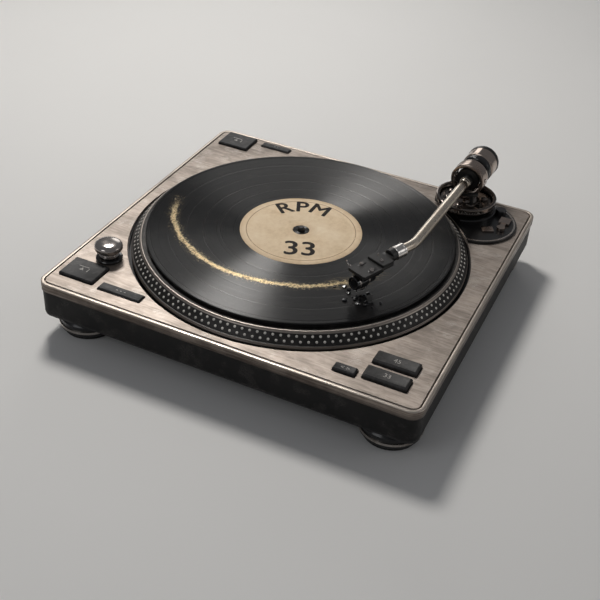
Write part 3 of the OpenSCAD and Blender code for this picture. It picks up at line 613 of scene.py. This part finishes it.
def lettering(words, size, thick=0.06, bold=0.0):     # a flat mesh of one generic mark, centred, in mm
    data = bpy.data.curves.new("mark", "FONT")
    data.body, data.size, data.extrude, data.offset = words, size * mm, thick * mm, bold * mm
    data.align_x, data.align_y, data.resolution_u = "CENTER", "CENTER", 5
    source = bpy.data.objects.new("mark", data)
    bpy.context.scene.collection.objects.link(source)
    mesh = bpy.data.meshes.new_from_object(source.evaluated_get(bpy.context.evaluated_depsgraph_get()))
    bm = bmesh.new()
    bm.from_mesh(mesh)
    bpy.data.objects.remove(source)
    bpy.data.curves.remove(data)
    bpy.data.meshes.remove(mesh)
    low = [min(vert.co[axis] for vert in bm.verts) for axis in (0, 1)]
    high = [max(vert.co[axis] for vert in bm.verts) for axis in (0, 1)]
    bmesh.ops.translate(bm, verts=bm.verts, vec=(-(low[0] + high[0]) / 2, -(low[1] + high[1]) / 2, 0))
    return bm


def boldLettering(words, size, bold):      # a heavier letter from four shifted copies, a hair apart in height
    bm = bmesh.new()
    for index, (x, y) in enumerate(((bold, 0), (-bold, 0), (0, bold * 0.7), (0, -bold * 0.7))):
        addPart(bm, lettering(words, size, 0.03), movedTo(x, y, index * 0.004))
    return bm


def makeKeys():
    marks = {"speed_button_33": ("33", 7), "speed_button_45": ("45", 7), "start_bar": ("- - -", 7),
             "rear_bar": ("- -", 6), "small_button": ("< >", 6)}
    for node, body in keys.items():
        x, y, width, depth, top = keySpot(node)
        chamfer = 1.5 if top > 3.5 else 1.0
        skin = [(width + 2 * flangeEdge, depth + 2 * flangeEdge, 1.6, -4.2),
                (width + 2 * flangeEdge, depth + 2 * flangeEdge, 1.6, -2.6), (width, depth, 1.2, -2.6),
                (width, depth, 1.2, top - chamfer - 0.15), (width - 0.14, depth - 0.14, 1.15, top - chamfer),
                (width - 2 * chamfer + 0.1, depth - 2 * chamfer + 0.1, 0.7, top - 0.12),
                (width - 2 * chamfer - 0.3, depth - 2 * chamfer - 0.3, 0.6, top),
                (width - 2 * chamfer - 1.6, depth - 2 * chamfer - 1.6, 0.5, top),
                (width - 2 * chamfer - 2.2, depth - 2 * chamfer - 2.2, 0.45, top - 0.12)]
        bm = stacked(skin, 4)
        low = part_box(node)[0]
        post = turned([(0, (low.z - deckTop) / mm), (2.2, (low.z - deckTop) / mm), (2.2, -4), (0, -4)], 20)
        shift = {"start_button": (0, 11), "speed_button_33": (-10, 0)}.get(node, (0, 0))
        addPart(bm, post, movedTo(shift[0], shift[1], 0))
        place = movedTo(x, y, deckTop / mm)
        bm.transform(place)
        finish = "speedKey" if top > 3.5 else "key_plastic"
        name = body.replace("_key", "").replace("_", "")
        finishPiece(name + "Cap", bm, finish, body, [node], 24)
        if node in marks:
            words, size = marks[node]
            bm = lettering(words, size, 0.05, 0.03)
            bm.transform(place @ movedTo(0, 0, top - 0.1))
        else:                          # the square keys carry a plain arrow and bar
            bm = bmesh.new()
            bmesh.ops.create_cone(bm, cap_ends=True, segments=3, radius1=2.6 * mm, radius2=2.5 * mm, depth=0.1 * mm)
            addPart(bm, block((11, 0.9, 0.1), (0, 4.4, 0), 0))
            addPart(bm, block((0.9, 5, 0.1), (6.5, 0.5, 0), 0))
            bm.transform(place @ movedTo(-2, -1, top - 0.1))
        finishPiece(name + "Mark", bm, "keyPrint", body, [], 24)


def makeKnob():
    low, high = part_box("power_knob")
    centre = (low + high) / 2
    cap = [(9.4, 4.3), (9.6, 4.6), (9.6, 5.6), (9.2, 6.0), (8.6, 6.3), (8.2, 7.0), (8.1, 9.0), (8.3, 9.9),
           (9.2, 10.3), (11.8, 10.6), (12.8, 11.1), (13.2, 11.8), (13.35, 12.8), (13.35, 14.6),
           (13.1, 15.6), (12.4, 16.6), (11.2, 17.5), (9.6, 18.2), (7.6, 18.7), (5.2, 19.03), (2.6, 19.17),
           (0, 19.2)]
    foot = [(0, -9), (3, -9), (3, 4.3)]
    bm = turned(foot + cap, 72)
    bm.transform(Matrix.Translation((centre.x, centre.y, deckTop)))
    finishPiece("knobCap", bm, "chrome", "knob", ["power_knob"], 40)
    skirt = turned([(6.8, -14), (6.8, 0), (12.3, 0), (12.7, 0.5), (12.7, 2.2), (12.2, 2.9), (11.4, 3.4),
                    (8, 3.6), (3.1, 3.6), (3.1, -14), (6.8, -14)], 64)
    skirt.transform(Matrix.Translation((centre.x, centre.y, deckTop)))
    finishPiece("knobSkirt", skirt, "gloss_black", "plinth", ["knob_base"], 35)


keyPrint = Finish("keyPrint")
keyWear = keyPrint.noise(1.1, 4, 0.7).over(0.45, 0.62)
keyPrint.wear(keyPrint.blend(keyWear, (0.42, 0.4, 0.37), (0.08, 0.078, 0.075)), 0.5)
finishes["keyPrint"] = keyPrint
makeDeckPlate()
makeRimBand()
makeKeys()
makeKnob()
print("deck, rim, keys and knob ready")


# the platter, the record and its label

def makePlatter():
    look = {"rows": 145, "dot": 1.5, "lower": 0.28, "upper": 0.72}
    rimR = (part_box("platter")[1].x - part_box("platter")[0].x) / 2 / mm
    top = (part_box("platter")[1].z - deckTop) / mm
    inner, outer = 156.3, rimR - 1.4
    low, high = 2.4, top - 1.5
    profile = [(3.62, 2.5), (14, 2.5), (20, top - 4), (rimR - 12, top - 4), (rimR - 7, top - 9),
               (rimR - 7, -2.5), (rimR - 0.6, -2.5), (rimR - 0.15, -2.2), (rimR, -1.7), (rimR, -0.2),
               (rimR - 0.25, 0.1), (rimR - 0.25, 0.45), (rimR, 0.8), (rimR - 0.1, 1.4), (rimR - 0.5, 1.9),
               (outer, 2.05), (outer, low), (inner, high), (156.35, high + 0.35), (156.1, top - 0.5),
               (155.5, top - 0.08), (154.6, top), (153.6, top - 0.12), (153.4, top - 0.4),
               (148.6, top - 0.4), (148.4, top), (3.62, top), (3.62, 2.5)]
    bm = turned(profile, 240)
    bm.transform(onSpindle)
    finishPiece("platterCast", bm, "platter_metal", "turntable", ["platter"], 28)
    dots = bmesh.new()
    lean = math.atan2(high - low, outer - inner)
    for row, share in enumerate((look["lower"], look["upper"])):
        radius, height = outer + (inner - outer) * share, low + (high - low) * share
        for step in range(look["rows"]):
            turn = Matrix.Rotation(math.tau * (step + row * 0.5) / look["rows"], 4, "Z")
            place = onSpindle @ turn @ movedTo(radius, 0, height) @ Matrix.Rotation(math.pi / 2 - lean, 4, "Y")
            bmesh.ops.create_cone(dots, cap_ends=True, segments=10, radius1=look["dot"] * mm,
                                  radius2=look["dot"] * 0.62 * mm, depth=0.5 * mm, matrix=place)
    finishPiece("strobeDots", dots, "dotPaint", "turntable", [], 60)


def makeRecord():
    edge = (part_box("record")[1].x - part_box("record")[0].x) / 2 / mm
    low, high = (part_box("record")[0].z - deckTop) / mm, (recordTop - deckTop) / mm
    gaps = [(146.4, 0.12), (129, 0.05), (112, 0.05), (95.5, 0.05), (79, 0.05), (65.5, 0.1)]
    profile = [(3.65, low), (edge - 1.2, low), (edge - 0.4, low + 0.3), (edge, low + 0.8), (edge, low + 1.3),
               (edge - 0.3, high - 0.25), (edge - 1, high), (148.6, high), (147.4, high - 0.06)]
    for radius, drop in gaps:      # a shallow step on each side of every blank band
        profile += [(radius + 0.9, high - 0.1), (radius + 0.55, high - 0.1), (radius + 0.4, high - 0.1 - drop),
                    (radius - 0.4, high - 0.1 - drop), (radius - 0.55, high - 0.1), (radius - 0.9, high - 0.1)]
    profile += [(62.4, high - 0.06), (61.2, high), (60.3, high), (60.2, high - 0.25), (8, high - 0.25),
                (7.8, high - 0.1), (5, high - 0.1), (3.65, high - 0.3), (3.65, low)]
    bm = turned(profile, 256)
    bm.transform(onSpindle)
    finishPiece("pressedRecord", bm, "vinyl", "turntable", ["record"], 9)


def makeLabel():
    look = {"turn": 23, "letterAt": 43.5, "letter": 27, "fan": 24, "numberAt": -33, "number": 33, "bold": 0.62}
    low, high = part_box("record_label")
    top, edge = (high.z - deckTop) / mm, (high.x - low.x) / 2 / mm
    base = (low.z - deckTop) / mm
    bm = turned([(8.2, base), (edge, base), (edge, top - 0.05), (edge - 0.2, top), (51.4, top),
                 (51, top - 0.07), (50.2, top - 0.07), (49.8, top), (17.2, top), (16.8, top - 0.08),
                 (15.8, top - 0.08), (15.4, top), (8.6, top), (8.2, top - 0.1), (8.2, base)], 128)
    bm.transform(onSpindle)
    finishPiece("labelDisc", bm, "label_paper", "turntable", ["record_label"], 30)
    bm = bmesh.new()
    turn = Matrix.Rotation(math.radians(look["turn"]), 4, "Z")
    for index, letter in enumerate("RPM"):
        lean = Matrix.Rotation(math.radians((1 - index) * look["fan"]), 4, "Z")
        addPart(bm, boldLettering(letter, look["letter"], look["bold"]), lean @ movedTo(0, look["letterAt"], 0))
    addPart(bm, boldLettering("33", look["number"], look["bold"]), movedTo(0, look["numberAt"], 0))
    bm.transform(onSpindle @ turn @ movedTo(0, 0, top + 0.02))
    finishPiece("labelPrint", bm, "ink", "turntable", [], 30)


makePlatter()
makeRecord()
makeLabel()
print("platter and record ready")


# the arm's base, hoop, tube and weight

def makeArmBase():
    look = {"guide": 20.4, "guideTurn": math.radians(-60), "screws": (-95, 20, 75, 160, 205), "screwAt": 19,
            "marks": 25, "firstMark": -150, "markStep": 5}
    ring = [(14, 10), (27.2, 10), (27.9, 10.4), (28.1, 11.3), (30.6, 12.5), (31.3, 13.1), (31.5, 13.8),
            (31.5, 14.4), (31.2, 14.7), (31.2, 17.6), (31.5, 17.9), (31.5, 18.7), (31.2, 19.4),
            (30.5, 19.8), (29.6, 19.95), (28.6, 19.75), (27.8, 19.2), (27.4, 18.4), (27.4, 12.8),
            (26.6, 11.8), (14, 11.8), (14, 10)]
    bm = turned(ring, 160)
    bm.transform(onPivot)
    finishPiece("heightDrum", bm, "gunmetal", "height_dial", ["height_ring"], 32)
    bm = bmesh.new()
    for step in range(look["marks"]):           # a height scale round the drum, with a longer line every fifth
        tall = 2.6 if step % 5 == 0 else 1.4
        turn = Matrix.Rotation(math.radians(look["firstMark"] + step * look["markStep"]), 4, "Z")
        addPart(bm, block((0.16, 0.35, tall), (31.22, 0, 14.7 + tall / 2), 0), turn)
    for number, step in enumerate(range(0, look["marks"], 5)):
        turn = Matrix.Rotation(math.radians(look["firstMark"] + step * look["markStep"] + 2.3), 4, "Z")
        addPart(bm, lettering(str(number), 2.4, 0.05, 0.04), turn @ movedTo(31.24, 0, 16.1) @ Matrix.Rotation(
            math.pi / 2, 4, "Z") @ Matrix.Rotation(math.pi / 2, 4, "X"))
    bm.transform(onPivot)
    finishPiece("heightScale", bm, "keyPrint", "height_dial", [], 30)
    column = [(3.04, -14), (11, -14), (11, 12.2), (26.1, 12.2), (26.4, 12.5), (26.4, 15.1), (25.9, 15.6),
              (23.6, 15.7), (23.1, 15.3), (14.5, 15.3), (14, 15.7), (12, 15.7), (9.4, 18.4), (8.8, 18.6),
              (3.04, 18.6), (3.04, -14)]
    bm = turned(column, 96)
    for angle in look["screws"]:
        turn = Matrix.Rotation(math.radians(angle), 4, "Z")
        addPart(bm, turned([(0, 15), (3.4, 15), (3.4, 16.4), (3.1, 17.3), (2.3, 17.9), (1.2, 18.2), (0, 18.3)], 32),
                turn @ movedTo(look["screwAt"], 0, 0))
    addPart(bm, turned([(2.06, 14.8), (4, 14.8), (4, 20.4), (3.6, 21), (2.06, 21), (2.06, 14.8)], 32),
            movedTo(look["guide"] * math.cos(look["guideTurn"]), look["guide"] * math.sin(look["guideTurn"]), 0))
    bm.transform(onPivot)
    finishPiece("armColumn", bm, "gunmetal", "column", ["arm_carriage"], 35)


def makeYoke():
    hoop = [(14.3, -7.1), (14.7, -7.5), (16.7, -7.5), (17.3, -7.1), (17.5, -6.5), (17.5, -4.3), (17.25, -4.0),
            (17.25, 4.0), (17.5, 4.3), (17.5, 6.5), (17.3, 7.1), (16.7, 7.5), (14.7, 7.5), (14.3, 7.1),
            (14.3, -7.1)]
    bm = turned(hoop, 96)
    bm.transform(alongY)
    axisZ = (pivotAt.z - deckTop) / mm
    addPart(bm, turned([(0, 19), (6.2, 19), (7, 19.4), (7, 22), (6.4, 23), (6, axisZ - 16.6), (0, axisZ - 15.4)], 48),
            movedTo(0, 0, -axisZ))
    addPart(bm, turned([(0, -6), (3, -6), (3, 19.5), (0, 19.5)], 32), movedTo(0, 0, -axisZ))
    bm.transform(onArm)
    finishPiece("yokeHoop", bm, "worn_metal", "gimbal", ["gimbal_ring"], 35)
    bm = bmesh.new()
    for side in (-1, 1):
        screw = turned([(0, 10.4), (1.2, 11), (1.2, 13.4), (3.2, 16.9), (3.6, 17.6), (3.2, 18.0), (1.5, 18.0),
                        (1.3, 17.6), (0, 17.6)], 32)
        addPart(bm, screw, Matrix.Rotation(side * math.pi / 2, 4, "Y"))
    bm.transform(onArm)
    finishPiece("yokeScrews", bm, "bright_metal", "gimbal", ["pivot_screws"], 35)
    hub = [(0, -9.5), (5.6, -9.5), (6.2, -9.1), (6.2, -6.1), (9.6, -6.0), (11.6, -5.6), (12, -5), (12, 5),
           (11.6, 5.6), (10, 6), (0, 6)]
    bm = turned(hub, 80)
    bm.transform(onArm @ alongY)
    finishPiece("armHub", bm, "arm_black", "arm", ["arm_hub"], 35)


def makeTube():
    look = {"radius": 4.7, "straight": 140, "bend": 42, "angle": 20, "tail": 8}
    bm = bmesh.new()
    start = bmesh.ops.create_circle(bm, cap_ends=False, radius=look["radius"] * mm, segments=40,
                                    matrix=movedTo(0, -4, 0) @ Matrix.Rotation(math.pi / 2, 4, "X"))["verts"]
    opened = edges = list({edge for vert in start for edge in vert.link_edges})

    def pushed(edges, vec):
        made = bmesh.ops.extrude_edge_only(bm, edges=edges)["geom"]
        bmesh.ops.translate(bm, verts=[item for item in made if isinstance(item, bmesh.types.BMVert)], vec=vec)
        return [item for item in made if isinstance(item, bmesh.types.BMEdge)]

    for length in (12, 60, 64):
        edges = pushed(edges, (0, -length * mm, 0))
    bent = bmesh.ops.spin(bm, geom=edges + list({v for e in edges for v in e.verts}), axis=(0, 0, 1),
                          cent=(-look["bend"] * mm, -look["straight"] * mm, 0), steps=16,
                          angle=-math.radians(look["angle"]), use_duplicate=False)["geom_last"]
    edges = [item for item in bent if isinstance(item, bmesh.types.BMEdge)]
    turn = Matrix.Rotation(-math.radians(look["angle"]), 3, "Z")
    edges = pushed(edges, turn @ Vector((0, -(look["tail"] + 8) * mm, 0)))
    for loop in (opened, edges):
        bmesh.ops.edgeloop_fill(bm, edges=loop)
    collar = turned([(4.72, -16.5), (5.2, -16.3), (5.4, -15.8), (5.4, -13.4), (5.8, -13), (5.8, -10.4),
                     (5.5, -9.9), (4.72, -9.7), (4.72, -16.5)], 48)
    addPart(bm, collar, alongY)
    bm.transform(onArm)
    finishPiece("armTube", bm, "tube_metal", "arm", ["arm_tube"], 30)


def makeWeight():
    look = {"dialRibs": 60, "gripRibs": 72}
    dial = [(3.55, 16), (13.4, 16), (14, 16.3), (15.2, 17.2), (15.5, 17.8), (15.5, 22.1), (15.1, 22.5),
            (3.55, 22.5), (3.55, 16)]
    bm = turned(dial, 96)
    for step in range(look["dialRibs"]):      # a fine grip round the dial's front edge
        addPart(bm, block((0.45, 0.8, 1.6), (15.5, 0, 21.0), 0), Matrix.Rotation(
            math.tau * step / look["dialRibs"], 4, "Z"))
    bm.transform(onArm @ alongY)
    finishPiece("forceDial", bm, "gloss_black", "force_dial", ["weight_dial"], 30)
    body = [(3.55, 22.8), (14.6, 22.8), (15.6, 23.0), (16.3, 23.5), (16.5, 24.2), (16.5, 25.2), (16.2, 25.5),
            (16.2, 26.0), (16.5, 26.3), (16.5, 38.8), (16.1, 39.3), (16.1, 40.4), (16.5, 40.9),
            (16.5, 43.6), (16.2, 44.5), (15.6, 45), (12.2, 45), (11.6, 44.6), (11.4, 44.0), (11.4, 36.2),
            (3.55, 36), (3.55, 22.8)]
    bm = turned(body, 112)
    bm.transform(onArm @ alongY)
    finishPiece("balanceWeight", bm, "worn_chrome", "weight", ["counterweight"], 32)
    bm = bmesh.new()
    addPart(bm, turned([(16.1, 39.35), (16.62, 39.5), (16.75, 40.2), (16.75, 43.4), (16.4, 44.6),
                        (15.5, 45.1), (12.4, 45.1), (12.4, 44.4), (16.0, 44.2), (16.1, 39.35)], 96))
    for step in range(look["gripRibs"]):
        addPart(bm, block((0.3, 0.55, 3.2), (16.78, 0, 41.8), 0), Matrix.Rotation(
            math.tau * step / look["gripRibs"], 4, "Z"))
    bm.transform(onArm @ alongY)
    finishPiece("weightGrip", bm, "arm_black", "weight", [], 30)


makeArmBase()
makeYoke()
makeTube()
makeWeight()
print("arm base, tube and weight ready")


# the headshell, the pickup and the loose chips

def makeHead():
    nut = [(4.76, -12), (6.2, -12), (6.6, -11.6), (6.6, -10.2), (6.3, -9.9), (6.3, -9.4), (6.5, -9.1),
           (6.5, -3.1), (6.3, -2.8), (6.3, -2.3), (6.6, -2), (6.6, -0.4), (6.2, 0), (4.76, 0), (4.76, -12)]
    bm = turned(nut, 72)
    bm.transform(onHead @ alongY)
    finishPiece("lockingNut", bm, "silverNut", "headshell_nut", ["locking_nut"], 32)

    plate = stacked([(20.4, 38, 1.4, -3), (21, 38.4, 1.6, -2.7), (21, 38.4, 1.6, -0.35), (20.5, 37.9, 1.4, 0)], 4)
    shell = bmesh.new()
    addPart(shell, plate, movedTo(0, -41, 0))
    step = stacked([(20.2, 14.2, 1.2, -0.4), (20.2, 14.2, 1.2, 1.9), (19.4, 13.4, 1.0, 2.4)], 4)
    addPart(shell, step, movedTo(0, -29, 0))
    addPart(shell, block((11, 11.5, 5.2), (0, -20.5, -0.4), 0.7, 3))
    addPart(shell, turned([(0, -18), (5.6, -18), (6, -17.6), (6, -12.5), (5.7, -12.3), (0, -12.3)], 48), alongY)
    addPart(shell, turned([(0, -18), (3.9, -18), (3.9, -3), (0, -3)], 32), alongY)
    for side in (-1, 1):          # raised lips round the pickup's two screws
        lip = stacked([(3.4, 9.4, 1.6, -0.1), (3.4, 9.4, 1.6, 0.12), (3.0, 9.0, 1.4, 0.22)], 4)
        addPart(shell, lip, movedTo(side * 6.35, -46.5, 0))
    shell.transform(onHead)
    finishPiece("headShell", shell, "head_grey", "arm", ["headshell"], 28)

    bits = bmesh.new()
    addPart(bits, screwHead(1.9, 1.2, 0.45), movedTo(3.2, -31, 2.3) @ Matrix.Rotation(0.6, 4, "Z"))
    addPart(bits, screwHead(1.1, 0.8, 0.3), movedTo(-5.6, -26.5, 2.3) @ Matrix.Rotation(1.3, 4, "Z"))
    for side in (-1, 1):
        turn = Matrix.Rotation(side * 0.5, 4, "Z")
        addPart(bits, screwHead(2.0, 1.3, 0.45), movedTo(side * 6.35, -47, 0.2) @ turn)
    rod = bmesh.new()                       # the finger lift, bent upwards
    ring = bmesh.ops.create_circle(rod, cap_ends=False, radius=0.85 * mm, segments=14,
                                   matrix=movedTo(-9.5, -55, -1.5) @ Matrix.Rotation(math.pi / 2, 4, "Y"))["verts"]
    started = edges = list({edge for vert in ring for edge in vert.link_edges})
    middle, lean = Vector((-9.5, -55, -1.5)) * mm, 0
    for bend, run in ((0, 4), (14, 1.2), (14, 1.2), (14, 1.2), (8, 1.8)):
        made = bmesh.ops.extrude_edge_only(rod, edges=edges)["geom"]
        points = [item for item in made if isinstance(item, bmesh.types.BMVert)]
        edges = [item for item in made if isinstance(item, bmesh.types.BMEdge)]
        bmesh.ops.rotate(rod, verts=points, cent=middle, matrix=Matrix.Rotation(math.radians(bend), 3, "Y"))
        lean += math.radians(bend)
        step = Vector((-math.cos(lean), 0, math.sin(lean))) * run * mm
        bmesh.ops.translate(rod, verts=points, vec=step)
        middle += step
    for loop in (started, edges):
        bmesh.ops.edgeloop_fill(rod, edges=loop)
    addPart(bits, rod)
    bits.transform(onHead)
    finishPiece("headBrightwork", bits, "chrome", "arm", [], 35)


def makePickup():
    body = bmesh.new()
    addPart(body, block((16, 25, 4.2), (0, -44.5, -5.2), 0.8, 3))
    addPart(body, block((11.5, 22, 4.5), (0, -45, -8.6), 1.2, 3))
    barrel = turned([(0, -62.2), (3.4, -62.2), (3.6, -61.6), (4.4, -61.4), (5.0, -62.4), (6.0, -62.5),
                     (6.4, -62.0), (6.4, -59.4), (6.0, -59.0), (6.0, -56.4), (6.3, -56.1), (6.3, -49),
                     (5.9, -48.6), (5.9, -40), (5.2, -38.6), (0, -38.4)], 56)
    addPart(body, barrel, movedTo(0, 0, -11.2) @ alongY)
    addPart(body, block((7, 9, 4), (0, -50.5, -16.2), 0.6))
    body.transform(onHead)
    finishPiece("pickupBody", body, "gloss_black", "arm", ["cartridge"], 32)
    bands = bmesh.new()
    for low, high, radius in ((-59.2, -57.4, 6.25), (-48.4, -46.6, 6.2), (-61.5, -61.1, 4.2)):
        addPart(bands, turned([(radius - 0.8, low), (radius, low), (radius + 0.12, (low + high) / 2), (radius, high),
                               (radius - 0.8, high), (radius - 0.8, low)], 56), movedTo(0, 0, -11.2) @ alongY)
    for side in (-1, 1):
        for height in (-5, -9):
            pin = turned([(0, 0), (0.5, 0), (0.5, 4.2), (0, 4.2)], 12)
            addPart(bands, pin, movedTo(side * 3, -32.8, height) @ alongY)
    bands.transform(onHead)
    finishPiece("pickupBands", bands, "chrome", "arm", [], 32)
    tip = (recordTop - pivotAt.z) / mm + 0.3
    stylus = bmesh.new()
    addPart(stylus, block((5.6, 6.5, 2.2), (0, -51.2, -19.3), 0.5))
    addPart(stylus, turned([(0, 0), (0.5, 0), (0.42, 4.8), (0, 5)], 16),
            movedTo(0, -53, -19.5) @ Matrix.Rotation(math.radians(98), 4, "X"))
    point = turned([(0, tip), (0.12, tip + 0.05), (0.5, -20.2), (0.6, -19.9), (0, -19.8)], 16)
    addPart(stylus, point, movedTo(0, -57, 0))
    stylus.transform(onHead)
    finishPiece("stylusTip", stylus, "bright_metal", "arm", ["stylus"], 35)


def makeDebris():
    look = {"chips": 46, "reach": 19, "seed": 11, "clear": 2.6, "outer": 143}
    dice = random.Random(look["seed"])
    tip = onHead @ (Vector((0, -57, 0)) * mm)
    reach = (tip - spindleAt).to_2d().length
    bm = bmesh.new()
    while look["chips"]:
        spot = tip + Vector((dice.gauss(5, look["reach"] * 0.5), dice.gauss(-5, look["reach"] * 0.35), 0)) * mm
        away = (spot - spindleAt).to_2d().length     # clear of the stylus's groove, and on the grooves
        if abs(away - reach) < look["clear"] * mm or away > look["outer"] * mm:
            continue
        look["chips"] -= 1
        size = 0.45 + dice.random() ** 3 * 2.6
        made = bmesh.ops.create_icosphere(bm, subdivisions=1, radius=size * mm)["verts"]
        for vert in made:
            vert.co *= 0.75 + dice.random() * 0.5
        turn = Matrix.Rotation(dice.random() * math.tau, 4, "Z")
        bmesh.ops.transform(bm, verts=made, matrix=Matrix.Translation((spot.x, spot.y, recordTop + size * 0.14 * mm))
                            @ turn @ Matrix.Diagonal((1, 0.5 + dice.random() * 0.5, 0.34, 1)))
    finishPiece("vinylChips", bm, "gloss_black", "turntable", [], 20)


makeHead()
makePickup()
makeDebris()
print("headshell, pickup and chips ready")
